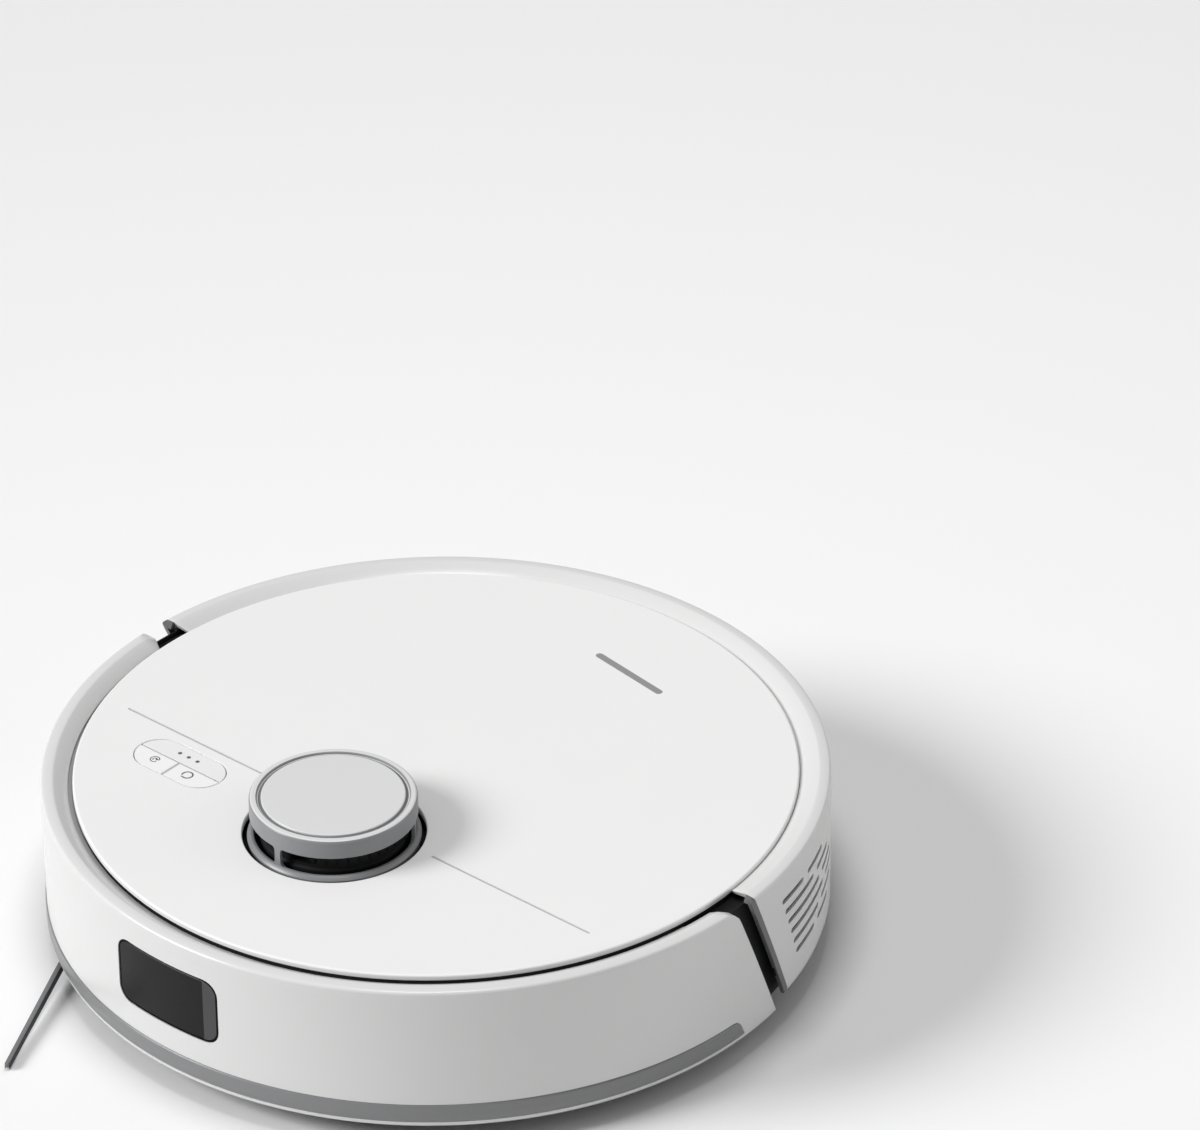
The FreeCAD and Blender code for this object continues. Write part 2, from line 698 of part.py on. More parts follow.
def wheel_module(side):
    """One sprung drive-wheel arm, modelled on the robot's left and mirrored for its right."""
    place = (lambda s: s) if side == "left" else mirrored

    reach = GEAR_MODULE * (DRIVE_TEETH + PINION_TEETH) / 2
    motor_y = -math.sqrt(reach ** 2 - MOTOR_RISE ** 2)
    motor_z = WHEEL_R + MOTOR_RISE
    case = strap_x(0, WHEEL_R, 23.6, ARM_PIVOT_Y, ARM_PIVOT_Z, 9.0, CASE_X0, CASE_X1)
    case = case.fuse(rod_x(9.0, 62, CASE_X0 + 1, ARM_PIVOT_Y, ARM_PIVOT_Z)).removeSplitter()
    hollow = strap_x(0, WHEEL_R, 21.8, motor_y, motor_z, 9.0, CASE_X0 - 1, CASE_X1 - 2.5)
    case = without(case, [
        hollow,
        rod_x(ARM_PIN_R + RUNNING, 0, 200, ARM_PIVOT_Y, ARM_PIVOT_Z),
        rod_x(AXLE_R + RUNNING, 70, 120, 0, WHEEL_R),
    ])
    save("gear_case_" + side, place(case))
    flange = strap_x(0, WHEEL_R, 21.7, motor_y, motor_z, 8.9, CASE_X0 - 0.9, CASE_X0 + 1.5)
    motor = rod_x(12.0, 54.0, CASE_X0 - 0.8, motor_y, motor_z).fuse(flange).removeSplitter()
    save("wheel_motor_" + side, place(without(motor, [
        rod_x(AXLE_R + RUNNING, 70, 90, 0, WHEEL_R),
        rod_x(MOTOR_SHAFT_R + RUNNING, 72.5, 90, motor_y, motor_z),
    ])))

    towards = math.atan2(motor_z - WHEEL_R, motor_y)
    drive = gear(DRIVE_TEETH, 0, WHEEL_R, 0.0, GEAR_X0, GEAR_X1)
    drive = drive.fuse(rod_x(AXLE_R, CASE_X0 - 0.4, WHEEL_X + 9.6, 0, WHEEL_R)).removeSplitter()
    save("drive_gear_" + side, place(drive))
    turn = meshed_turn(PINION_TEETH, towards, DRIVE_TEETH, 0.0)
    pinion = gear(PINION_TEETH, motor_y, motor_z, turn, GEAR_X0 + 0.2, GEAR_X1 - 0.4)
    pinion = pinion.fuse(rod_x(MOTOR_SHAFT_R, 73, GEAR_X1, motor_y, motor_z)).removeSplitter()
    save("motor_pinion_" + side, place(pinion))

    x0 = WHEEL_X - WHEEL_WIDTH / 2
    x1 = WHEEL_X + WHEEL_WIDTH / 2
    hub = turned_x(outline(
        (AXLE_R, x0 + 1), (12, x0 + 1), (12, x0 + 4), (26.5, x0 + 7), (26.5, x0), (28.5, x0),
        (28.5, x1), (26.5, x1), (26.0, x1 - 3), (11, x1 - 1.5), (AXLE_R, x1 - 1.5),
    ), 0, WHEEL_R)
    pockets = []
    for spoke in range(6):
        y, z = polar(19, spoke * 60, 0, WHEEL_R)
        pockets.append(rod_x(4.2, x0 - 5, x1 + 5, y, z))
    save("wheel_hub_" + side, place(without(hub, pockets)))
    tyre = tube_x(WHEEL_R - 1.6, 28.5, x0, x1, 0, WHEEL_R)
    treads = []
    tread_count = 24
    for tread in range(tread_count):
        bar = block(x0, x1, -2.3, 2.3, WHEEL_R - 2.6, WHEEL_R)
        bar = bar.common(rod_x(WHEEL_R, x0, x1, 0, 0))
        bar.rotate(V(0, 0, 0), ALONG_X, tread * 360.0 / tread_count)
        bar.translate(V(0, 0, WHEEL_R))
        treads.append(bar)
    save("tyre_" + side, place(joined([tyre] + treads)))


# ---- Main brush --------------------------------------------------------------------------

HOUSING_WALL = 1.8
BRUSH_CHAMBER_R = BRUSH_TIP_R + 1.3
BRUSH_SHAFT_R = 3.0


def brush_parts():
    bay = block(-MOUTH_HALF - HOUSING_WALL, MOUTH_HALF + HOUSING_WALL, MOUTH_Y0 - HOUSING_WALL,
                MOUTH_Y1 + HOUSING_WALL, PLATE_TOP, BRUSH_Z + BRUSH_CHAMBER_R + 2.5)
    inside = rod_x(BRUSH_CHAMBER_R, -MOUTH_HALF, MOUTH_HALF, BRUSH_Y, BRUSH_Z)
    below = block(-MOUTH_HALF, MOUTH_HALF, BRUSH_Y - BRUSH_CHAMBER_R, BRUSH_Y + BRUSH_CHAMBER_R, 0, BRUSH_Z)
    throat = block(-40, 40, BRUSH_Y, BIN_FRONT, 28, 42)
    bore = BRUSH_SHAFT_R + RUNNING
    shaft_holes = [rod_x(bore + 1, -100, -60, BRUSH_Y, BRUSH_Z), rod_x(bore, 60, 84.8, BRUSH_Y, BRUSH_Z)]
    duct = block(-42, 42, MOUTH_Y1, BIN_FRONT - 2.4, 26, 44)
    bay = bay.fuse(duct).removeSplitter()
    save("brush_housing", without(bay, [inside, below, throat] + shaft_holes))

    core = tube_x(BRUSH_CORE_R, BRUSH_SHAFT_R, -BRUSH_HALF + 4, BRUSH_HALF - 4, BRUSH_Y, BRUSH_Z)
    caps = [rod_x(12.0, -BRUSH_HALF, -BRUSH_HALF + 4, BRUSH_Y, BRUSH_Z),
            rod_x(12.0, BRUSH_HALF - 4, BRUSH_HALF, BRUSH_Y, BRUSH_Z),
            rod_x(BRUSH_SHAFT_R, -BRUSH_HALF - 13, BRUSH_HALF + 4.6, BRUSH_Y, BRUSH_Z)]
    save("brush_core", joined([core] + caps))
    fins = [tube_x(BRUSH_CORE_R + 1.6, BRUSH_CORE_R, -BRUSH_HALF + 4.5, BRUSH_HALF - 4.5, BRUSH_Y, BRUSH_Z)]
    for fin in range(6):
        blade = block(-BRUSH_HALF + 4.5, BRUSH_HALF - 4.5, -1.3, 1.3, BRUSH_CORE_R + 0.8, BRUSH_TIP_R)
        blade.rotate(V(0, 0, 0), ALONG_X, fin * 60 + 30)
        blade.translate(V(0, BRUSH_Y, BRUSH_Z))
        fins.append(blade)
    save("brush_bristles", joined(fins))

    gearbox = strap_x(BRUSH_Y, BRUSH_Z + 1, 8.5, BRUSH_Y, 35, 12.5, -98, -MOUTH_HALF - HOUSING_WALL)
    motor = rod_x(12.5, -128, -97, BRUSH_Y, 35)
    gearbox = gearbox.fuse(motor).removeSplitter()
    save("brush_motor", gearbox.cut(rod_x(bore, -94, -60, BRUSH_Y, BRUSH_Z)))

    guard = block(-MOUTH_HALF + 0.4, MOUTH_HALF - 0.4, MOUTH_Y0 + 0.3, MOUTH_Y1 - 0.3, 8.6, PLATE_BOTTOM)
    hole = block(-MOUTH_HALF + 3, MOUTH_HALF - 3, BRUSH_Y - 19.6, BRUSH_Y + 19.6, 0, 20)
    save("brush_guard", guard.cut(hole))


# ---- Side brush --------------------------------------------------------------------------

def side_brush():
    hub = turned(outline(
        (0, 5.4), (11.5, 5.4), (13.0, 7.0), (12.0, 9.2), (7.0, 10.4), (0, 10.4),
    ), SIDE_BRUSH_X, SIDE_BRUSH_Y)
    shaft_r = 2.5
    hub = hub.fuse(disc(shaft_r, 10.0, 20.0, SIDE_BRUSH_X, SIDE_BRUSH_Y)).removeSplitter()
    save("side_brush_hub", hub)

    along = math.sqrt(SIDE_BRUSH_REACH ** 2 - SIDE_BRUSH_OFFSET ** 2)
    profile = Part.Face(Part.makePolygon([
        V(6.0, 0, 7.6), V(6.0, 0, 5.3), V(along, 0, 0.8), V(along, 0, 3.6), V(26, 0, 7.6), V(6.0, 0, 7.6),
    ]))
    arm = profile.extrude(V(0, 2.4, 0))
    arm.translate(V(0, -SIDE_BRUSH_OFFSET - 1.2, 0))
    arms = []
    for half_turn in (0, 180):
        piece = turn_z(arm, SIDE_BRUSH_ANGLE + half_turn)
        piece.translate(V(SIDE_BRUSH_X, SIDE_BRUSH_Y, 0))
        arms.append(piece.cut(hub))
    save("side_brush_bristles", *arms)
    motor = disc(10.8, PLATE_TOP + 6, 50, SIDE_BRUSH_X, SIDE_BRUSH_Y)
    neck = disc(6.5, PLATE_TOP, PLATE_TOP + 7, SIDE_BRUSH_X, SIDE_BRUSH_Y)
    bore = disc(shaft_r + RUNNING, 0, 21, SIDE_BRUSH_X, SIDE_BRUSH_Y)
    save("side_brush_motor", motor.fuse(neck).removeSplitter().cut(bore))


# ---- Castor ------------------------------------------------------------------------------

def castor():
    wheel_y = CASTOR_Y + CASTOR_TRAIL
    crown = turned(outline(
        (0, 29.4), (20.0, 29.4), (21.4, 30.4), (21.4, 31.6), (19.0, 33.5), (0, 33.5),
    ), 0, CASTOR_Y)
    cheeks = [block(side * 10.5 - 1.2, side * 10.5 + 1.2, wheel_y - 6, wheel_y + 6, CASTOR_R - 4.5, 30)
              for side in (-1, 1)]
    stem = disc(CASTOR_STEM_R, 33.0, 45.5, 0, CASTOR_Y)
    fork = joined([crown, stem] + cheeks)
    axle_r = 1.5
    save("castor_fork", fork.cut(rod_x(axle_r + RUNNING, -20, 20, wheel_y, CASTOR_R)))
    wheel = turned_x(outline(
        (0, -11.6), (axle_r, -11.6), (axle_r, -8.5), (9.0, -8.5), (12.6, -7.6),
        ((CASTOR_R, 0), (12.6, 7.6)), (9.0, 8.5), (axle_r, 8.5), (axle_r, 11.6), (0, 11.6),
    ), wheel_y, CASTOR_R)
    save("castor_wheel", wheel)


# ---- Dust bin ----------------------------------------------------------------------------

def bin_outline(half, front, radius, z0, z1):
    return block(-half, half, front, 190, z0, z1).common(disc(radius, z0, z1))


FILTER_X0 = 66.0
FILTER_X1 = 76.0


def dust_bin():
    body = bin_outline(BIN_HALF, BIN_FRONT, 172.2, BIN_BOTTOM, BIN_TOP)
    hollow = bin_outline(BIN_HALF - 2, BIN_FRONT + 2, 170.2, BIN_BOTTOM + 2, BIN_TOP + 5)
    hollow = hollow.cut(block(-19, 19, 163.4, 190, 40, 62))
    inlet = block(-38, 38, BIN_FRONT - 5, BIN_FRONT + 5, 29, 41)
    outlet = block(70, 90, 104, 122, 32, 48)
    pocket = block(-17, 17, 165.4, 190, 42, 60)
    save("bin_body", without(body, [hollow, inlet, outlet, pocket]))
    lid = bin_outline(BIN_HALF, BIN_FRONT, 172.2, BIN_TOP, BIN_TOP + 2.2)
    save("bin_lid", lid)
    face = ring(BODY_R, 172.2, REAR_BOTTOM, FACE_TOP).common(block(-FACE_HALF, FACE_HALF, 100, 190, 0, 90))
    button_hole = rounded_window(-16, 16, 43, 59, 4.0, 150, 190)
    save("bin_face", face.cut(button_hole))
    key = ring(BODY_R - 0.2, 168.4, 40, 62).common(rounded_window(-15.7, 15.7, 43.3, 58.7, 3.8, 150, 190))
    save("bin_release", key)
    frame = block(FILTER_X0, FILTER_X1, 102.5, 138, 22, 60)
    pleats = [block(FILTER_X0 - 1, FILTER_X1 - 2.5, y, y + 1.6, 25, 57) for y in range(105, 135, 4)]
    save("bin_filter", without(frame, pleats))

    inside = disc(CHASSIS_R - 3, 0, 90)
    floor = block(-84.6, 84.6, 96.2, 160, PLATE_TOP, PLATE_TOP + 1.8).common(inside)
    sides = [block(side * 83.4 - 1.2, side * 83.4 + 1.2, 96.2, 150, PLATE_TOP, 66).common(inside)
             for side in (-1, 1)]
    front = block(-84.6, 84.6, 96.2, 98.0, PLATE_TOP, 66).cut(block(-40, 40, 90, 110, 28, 42))
    runners = [block(s * 60 - 3, s * 60 + 3, 100, 156, PLATE_TOP + 1.5, BIN_BOTTOM - 0.3) for s in (-1, 1)]
    outlet_hole = block(80, 90, 104, 122, 32, 48)
    save("bin_bay", joined([floor, front] + sides + runners).cut(outlet_hole))


# ---- Fan ---------------------------------------------------------------------------------

def fan():
    within = disc(158, 0, 90)
    shell = disc(22.5, 24, 50, FAN_X, FAN_Y)
    arm = block(FAN_X - 16, FAN_X - 6, 85, 122, 30, 50).common(within)
    mouth = block(84.6, FAN_X - 6, 103, 122, 30, 50).common(within)
    housing = joined([shell, arm, mouth])
    hollow = [
        disc(20.5, 26, 48, FAN_X, FAN_Y),
        block(FAN_X - 14, FAN_X - 8, 80, 120, 32, 48).common(disc(156, 0, 90)),
        block(80, FAN_X - 8, 105, 120, 32, 48).common(disc(156, 0, 90)),
        turn_z(block(FAN_X + 5, FAN_X + 30, FAN_Y - 8, FAN_Y + 8, 32, 46), -10, FAN_X, FAN_Y),
        disc(4.0, 45, 55, FAN_X, FAN_Y),
    ]
    save("fan_housing", without(housing, hollow))
    shaft_r = 1.5
    wheel = [turned(outline(
        (0, 29), (17.5, 29), (17.5, 30.2), (8, 31.5), (6, 41), (shaft_r, 41), (shaft_r, 56), (0, 56),
    ), FAN_X, FAN_Y)]
    for blade in range(9):
        vane = block(FAN_X + 5, FAN_X + 17.2, FAN_Y - 0.6, FAN_Y + 0.6, 29.5, 39)
        wheel.append(turn_z(turn_z(vane, 25, FAN_X + 6, FAN_Y), blade * 40, FAN_X, FAN_Y))
    save("fan_impeller", joined(wheel))
    motor = disc(14, 50, 66, FAN_X, FAN_Y)
    save("fan_motor", motor.cut(disc(shaft_r + RUNNING, 49, 56.5, FAN_X, FAN_Y)))


# ---- Power and control -------------------------------------------------------------------

def electronics(key_switches):
    save("battery_pack", fillet_at(
        block(-BATTERY_HALF, BATTERY_HALF, BATTERY_Y0, BATTERY_Y1, 15, 44), 4.0,
        lambda m, e: abs(e.tangentAt(e.FirstParameter).z) > 0.99))
    fit = 0.2
    save("battery_cover", block(-HATCH_HALF + fit, HATCH_HALF - fit, HATCH_Y0 + fit, HATCH_Y1 - fit,
                                PLATE_BOTTOM, PLATE_TOP))
    boards = [block(-46, 46, -22, 39, 48.0, 49.6),
              block(BUTTONS_X - 24, BUTTONS_X + 24, BUTTONS_Y - 12, BUTTONS_Y + 12, 72.6, 74.0)]
    parts = [block(-30, -14, -8, 8, 49.6, 51.2), block(2, 12, -12, -2, 49.6, 51.4),
             block(20, 40, -18, -10, 49.6, 56), block(-40, -20, 28, 36, 49.6, 56),
             disc(4, 49.6, 61, 26, 22), disc(4, 49.6, 61, 36, 22), block(-6, 12, 12, 24, 49.6, 53)]
    save("circuit_boards", *(boards + parts + key_switches))


def main():
    bumper_parts()
    rear_parts()
    base_plate()
    upper_chassis()
    bumper_switches()
    front_sensor()
    key_switches = top_parts()
    turret()
    wheel_bays()
    for side in ("left", "right"):
        wheel_module(side)
    brush_parts()
    side_brush()
    castor()
    dust_bin()
    fan()
    electronics(key_switches)


main()
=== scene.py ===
import math
import random

import bmesh
import bpy
from mathutils import Matrix, Vector


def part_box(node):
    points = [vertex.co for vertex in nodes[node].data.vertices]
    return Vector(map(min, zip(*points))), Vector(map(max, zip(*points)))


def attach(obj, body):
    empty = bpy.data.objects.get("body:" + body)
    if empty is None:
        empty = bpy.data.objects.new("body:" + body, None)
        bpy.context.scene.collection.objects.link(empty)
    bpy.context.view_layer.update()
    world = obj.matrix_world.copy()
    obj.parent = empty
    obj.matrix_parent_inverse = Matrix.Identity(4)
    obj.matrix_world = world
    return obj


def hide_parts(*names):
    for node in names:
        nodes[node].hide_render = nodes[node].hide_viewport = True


# Robot vacuum. Everything is worked out in millimetres, in the frame's axes: the robot drives
# towards -Y, its left side is +X and the floor is z = 0. Meshes are scaled to metres when made.

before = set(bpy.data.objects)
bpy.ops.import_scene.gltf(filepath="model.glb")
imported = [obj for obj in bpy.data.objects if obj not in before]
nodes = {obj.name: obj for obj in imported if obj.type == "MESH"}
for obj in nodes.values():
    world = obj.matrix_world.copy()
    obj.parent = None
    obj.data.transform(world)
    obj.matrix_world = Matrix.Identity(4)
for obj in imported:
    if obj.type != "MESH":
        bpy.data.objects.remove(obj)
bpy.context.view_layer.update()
MM = 0.001
random.seed(4)


def box_mm(node):
    low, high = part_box(node)
    return low / MM, high / MM


# ---- Driving sizes, from the frame where a node has them -----------------------------------

BODY_R = box_mm("bin_face")[1].y
COVER_R = 160.9
COVER_LOW = box_mm("top_cover")[0].z
COVER_TOP = box_mm("top_cover")[1].z
BEAD_TOP = box_mm("bumper_shell")[1].z
BUMPER_BOTTOM = box_mm("bumper_shell")[0].z
REAR_BOTTOM = box_mm("rear_shell")[0].z
WALL = 2.5
EDGE_SLOPE = 0.435          # the gap's lines run this far back for each millimetre down
BUMPER_EDGE_Y = -2.3        # y of the gap's two lines, level with the disc's top
REAR_EDGE_Y = 10.2
TRIM_WIDTH = 3.2
CREST_R = 170.2             # the highest line of the shells' rim
CROWN_R = 20.0              # the rim's shallow crown outside the crest
EDGE_R = 1.6                # the round between crown and wall
TURRET = (0.0, -66.8)
TURRET_R = 36.9
SLOT_LOW = 80.5
SLOT_HIGH = 89.6
PLATE_LOW = box_mm("base_plate")[0].z
PLATE_TOP = 13.5
WHEEL_R = 33.0
WHEEL_X = 110.0
ARM_PIVOT = (-52.0, 40.0)
BRUSH_Y = 66.0
BRUSH_Z = 22.0
BRUSH_HALF = 75.0
BRUSH_LEAN = 34.0           # degrees that the roller's blades turn from the middle to an end
CASTOR_Y = -134.0
SIDE_BRUSH = (-96.0, -118.0)
CONTACT = (100.0, 112.0)


# ---- Materials -----------------------------------------------------------------------------

def node_of(tree, kind, **values):
    """A new shader node. Each value sets the property of its name or, if there is none, the input."""
    node = tree.nodes.new(kind)
    for key, value in values.items():
        if hasattr(node, key):
            setattr(node, key, value)
        else:
            node.inputs[key].default_value = value
    return node


def noise_of(tree, place, scale, detail, roughness=0.55, stretch=None):
    source = place
    if stretch:
        mapping = node_of(tree, "ShaderNodeMapping", Scale=stretch)
        tree.links.new(place, mapping.inputs["Vector"])
        source = mapping.outputs["Vector"]
    noise = node_of(tree, "ShaderNodeTexNoise", Scale=scale, Detail=detail, Roughness=roughness)
    tree.links.new(source, noise.inputs["Vector"])
    return noise.outputs["Fac"]


def spread_of(tree, source, low, high, start, end):
    """The source's range from start to end, spread over low to high."""
    spread = node_of(tree, "ShaderNodeMapRange")
    spread.inputs["From Min"].default_value = start
    spread.inputs["From Max"].default_value = end
    spread.inputs["To Min"].default_value = low
    spread.inputs["To Max"].default_value = high
    tree.links.new(source, spread.inputs["Value"])
    return spread.outputs["Result"]


def mix_of(tree, factor, first, second):
    """Two colours mixed. The first is a colour or another node's output."""
    mix = node_of(tree, "ShaderNodeMix", data_type="RGBA")
    tree.links.new(factor, mix.inputs["Factor"])
    if isinstance(first, list):
        mix.inputs["A"].default_value = first
    else:
        tree.links.new(first, mix.inputs["A"])
    mix.inputs["B"].default_value = second
    return mix.outputs["Result"]


def toned(colour, factor, lift=0.0):
    return [*(min(1.0, c * factor + lift) for c in colour), 1]


DUST = [0.30, 0.29, 0.27, 1]


def moulded(name, colour, roughness=0.35, grain=1800.0, depth=0.02, vary=0.03, worn=0.0, metal=0.0,
            stretch=None, dust=0.0, specular=0.5):
    """Plastic, rubber or metal: two shades in slow clouds, a fine grain in the surface, roughness that
    follows both, edges that wear lighter, and a little dust that gathers in patches."""
    material = bpy.data.materials.new(name)
    material.use_nodes = True
    tree = material.node_tree
    shader = tree.nodes["Principled BSDF"]
    shader.inputs["Metallic"].default_value = metal
    shader.inputs["Specular IOR Level"].default_value = specular
    place = node_of(tree, "ShaderNodeTexCoord").outputs["Object"]

    clouds = noise_of(tree, place, 14.0, 4.0)
    shade = mix_of(tree, clouds, toned(colour, 1 - vary), toned(colour, 1 + vary))
    if worn:
        edges = node_of(tree, "ShaderNodeNewGeometry").outputs["Pointiness"]
        shade = mix_of(tree, spread_of(tree, edges, 0.0, worn, 0.52, 0.62), shade, toned(colour, 1.6, 0.06))
    if dust:
        patches = noise_of(tree, place, 60.0, 6.0, 0.7)
        shade = mix_of(tree, spread_of(tree, patches, 0.0, dust, 0.5, 0.75), shade, DUST)
    tree.links.new(shade, shader.inputs["Base Color"])

    fine = noise_of(tree, place, grain, 2.0, 0.5, stretch)
    slow = noise_of(tree, place, 45.0, 5.0)
    blend = node_of(tree, "ShaderNodeMath", operation="MULTIPLY_ADD")
    blend.inputs[1].default_value = 0.4
    tree.links.new(fine, blend.inputs[0])
    tree.links.new(slow, blend.inputs[2])
    rough = spread_of(tree, blend.outputs[0], roughness * 0.88, roughness * 1.12, 0.45, 0.95)
    tree.links.new(rough, shader.inputs["Roughness"])
    bump = node_of(tree, "ShaderNodeBump", Strength=0.35, Distance=depth * MM)
    tree.links.new(fine, bump.inputs["Height"])
    tree.links.new(bump.outputs["Normal"], shader.inputs["Normal"])
    return material


def smoked_glass(name, colour, roughness, alpha=1.0):
    """Polished tinted plastic, with the faintest flow marks in its surface."""
    material = moulded(name, colour, roughness, grain=260.0, depth=0.004, vary=0.08, specular=0.18)
    material.node_tree.nodes["Principled BSDF"].inputs["Alpha"].default_value = alpha
    if alpha < 1:
        material.surface_render_method = "BLENDED"
    return material


MATERIALS = {
    "shell": moulded("shell_white_satin", (0.66, 0.66, 0.658), 0.22, 2200, 0.008, 0.012),
    "cover": moulded("cover_white_satin", (0.79, 0.79, 0.788), 0.40, 2600, 0.010, 0.008),
    "key": moulded("key_white", (0.82, 0.82, 0.818), 0.38, 2600, 0.010, 0.010),
    "panel": moulded("panel_white", (0.77, 0.77, 0.77), 0.38, 2600, 0.010, 0.010),
    "print": moulded("printed_grey", (0.12, 0.12, 0.125), 0.55, 3000, 0.006, 0.06),
    "line": moulded("seam_grey", (0.44, 0.44, 0.445), 0.6, 3000, 0.01, 0.06),
    "inlay": moulded("inlay_silver", (0.36, 0.36, 0.37), 0.30, 900, 0.008, 0.05, stretch=(1, 12, 1),
                     metal=0.35),
    "strip": moulded("strip_elastomer", (0.20, 0.202, 0.206), 0.34, 1500, 0.02, 0.05, dust=0.04),
    "trim": moulded("trim_grey", (0.125, 0.125, 0.128), 0.42, 1700, 0.02, 0.05, worn=0.12),
    "band": moulded("turret_grey", (0.235, 0.238, 0.244), 0.34, 2000, 0.012, 0.03),
    "lid": moulded("turret_lid", (0.64, 0.64, 0.643), 0.36, 1200, 0.012, 0.015),
    "groove": moulded("turret_groove", (0.17, 0.17, 0.178), 0.5, 2000, 0.01, 0.03),
    "window": smoked_glass("window_smoke", (0.005, 0.005, 0.006), 0.30),
    "window_rim": moulded("window_rim", (0.002, 0.002, 0.002), 0.6, 2000, 0.01, 0.05, specular=0.1),
    "window_band": smoked_glass("window_band", (0.062, 0.062, 0.065), 0.36),
    "black": moulded("inner_black", (0.010, 0.010, 0.011), 0.60, 1500, 0.03, 0.10, specular=0.2),
    "gloss_black": smoked_glass("optics_black", (0.008, 0.008, 0.009), 0.08),
    "base": moulded("base_black", (0.028, 0.028, 0.030), 0.50, 1400, 0.05, 0.08, worn=0.35, dust=0.06),
    "guard": moulded("guard_grey", (0.075, 0.076, 0.080), 0.45, 1500, 0.04, 0.06, worn=0.35),
    "hub": moulded("hub_grey", (0.13, 0.13, 0.135), 0.42, 1600, 0.03, 0.05, worn=0.2),
    "tyre": moulded("tyre_rubber", (0.022, 0.022, 0.023), 0.72, 900, 0.08, 0.15, dust=0.22),
    "gear": moulded("gear_acetal", (0.62, 0.60, 0.54), 0.35, 1400, 0.01, 0.03),
    "steel": moulded("steel_brushed", (0.50, 0.50, 0.51), 0.30, 700, 0.01, 0.06, metal=1.0,
                     stretch=(14, 1, 1)),
    "contact": moulded("contact_plate", (0.66, 0.60, 0.48), 0.22, 800, 0.008, 0.08, metal=1.0,
                       stretch=(1, 10, 1)),
    "spring": moulded("spring_wire", (0.38, 0.38, 0.40), 0.28, 1200, 0.006, 0.08, metal=1.0),
    "board": moulded("circuit_board", (0.02, 0.11, 0.05), 0.45, 380, 0.04, 0.25),
    "cells": moulded("battery_wrap", (0.03, 0.06, 0.14), 0.28, 500, 0.02, 0.06),
    "bristle": moulded("bristle_nylon", (0.03, 0.03, 0.033), 0.5, 4000, 0.06, 0.3),
    "fin": moulded("fin_rubber", (0.05, 0.055, 0.065), 0.55, 1100, 0.05, 0.1, dust=0.08),
    "whisker": moulded("whisker_nylon", (0.26, 0.262, 0.27), 0.42, 3000, 0.04, 0.2),
    "filter": moulded("filter_paper", (0.80, 0.78, 0.73), 0.85, 1600, 0.15, 0.04, dust=0.10),
    # painted shade: a near-black sheet behind the vent slots, standing in for the shade deep inside them
    "mesh": moulded("vent_shade_black", (0.004, 0.004, 0.004), 0.7, 900, 0.2, 0.2, specular=0.2),
    "bin": smoked_glass("bin_smoke", (0.035, 0.036, 0.040), 0.20, 0.62),
    "castor_black": moulded("castor_black", (0.03, 0.03, 0.031), 0.30, 1200, 0.02, 0.08, dust=0.05),
    "castor_white": moulded("castor_white", (0.62, 0.62, 0.60), 0.32, 1200, 0.02, 0.05, dust=0.08),
    "belt": moulded("belt_rubber", (0.02, 0.02, 0.021), 0.65, 900, 0.05, 0.12, stretch=(1, 1, 8)),
    "can": moulded("motor_can", (0.42, 0.42, 0.43), 0.32, 700, 0.01, 0.06, metal=1.0, stretch=(14, 1, 1)),
}


# ---- Meshes --------------------------------------------------------------------------------

SHARP = 32.0                # degrees over which an edge is drawn sharp
LEVEL = 0.9999              # a normal nearer than this to upright or downright marks a level face


def placed(name, data):
    """A new object in the scene."""
    obj = bpy.data.objects.new(name, data)
    bpy.context.scene.collection.objects.link(obj)
    return obj


def mesh_of(name, points, faces):
    """A mesh from points in millimetres."""
    mesh = bpy.data.meshes.new(name)
    mesh.from_pydata([[c * MM for c in point] for point in points], [], faces)
    return mesh


def tidy_normals(mesh, sharp):
    """Welds the mesh, turns its faces outward, and shades it smooth but for level faces and sharp edges."""
    grown = bmesh.new()
    grown.from_mesh(mesh)
    bmesh.ops.remove_doubles(grown, verts=grown.verts, dist=0.002 * MM)
    bmesh.ops.recalc_face_normals(grown, faces=grown.faces)
    grown.to_mesh(mesh)
    grown.free()
    mesh.set_sharp_from_angle(angle=math.radians(sharp))
    mesh.polygons.foreach_set("use_smooth", [abs(face.normal.z) < LEVEL for face in mesh.polygons])


def made(name, points, faces, material, body, slot, sharp=SHARP):
    """A piece of the model, from points in millimetres, that rides on a body."""
    mesh = mesh_of(name, points, faces)
    tidy_normals(mesh, sharp)
    obj = placed(name, mesh)
    mesh.materials.append(MATERIALS[material])
    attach(obj, body)
    return obj


def bake(obj, sharp=SHARP):
    """Applies the object's modifiers to its mesh."""
    bpy.context.view_layer.update()
    graph = bpy.context.evaluated_depsgraph_get()
    mesh = bpy.data.meshes.new_from_object(obj.evaluated_get(graph))
    obj.modifiers.clear()
    obj.data = mesh
    tidy_normals(mesh, sharp)


def ease_edges(obj, width):
    """Rounds the object's hard edges."""
    bevel = obj.modifiers.new("round", "BEVEL")
    bevel.width = width * MM
    bevel.segments = 3
    bevel.limit_method = "ANGLE"
    bevel.angle_limit = math.radians(38)
    bevel.use_clamp_overlap = True
    bake(obj)


def merged(*meshes):
    points, faces = [], []
    for verts, polygons in meshes:
        shift = len(points)
        points += verts
        faces += [[i + shift for i in polygon] for polygon in polygons]
    return points, faces


def carve(obj, cutters, sharp=SHARP):
    """Cuts closed meshes, given as (points, faces) in millimetres, out of the object."""
    mesh = mesh_of("cutter", *merged(*cutters))
    tidy_normals(mesh, 30)
    tool = placed("cutter", mesh)
    cut = obj.modifiers.new("cut", "BOOLEAN")
    cut.operation = "DIFFERENCE"
    cut.solver = "EXACT"
    cut.object = tool
    bake(obj, sharp)
    bpy.data.objects.remove(tool)


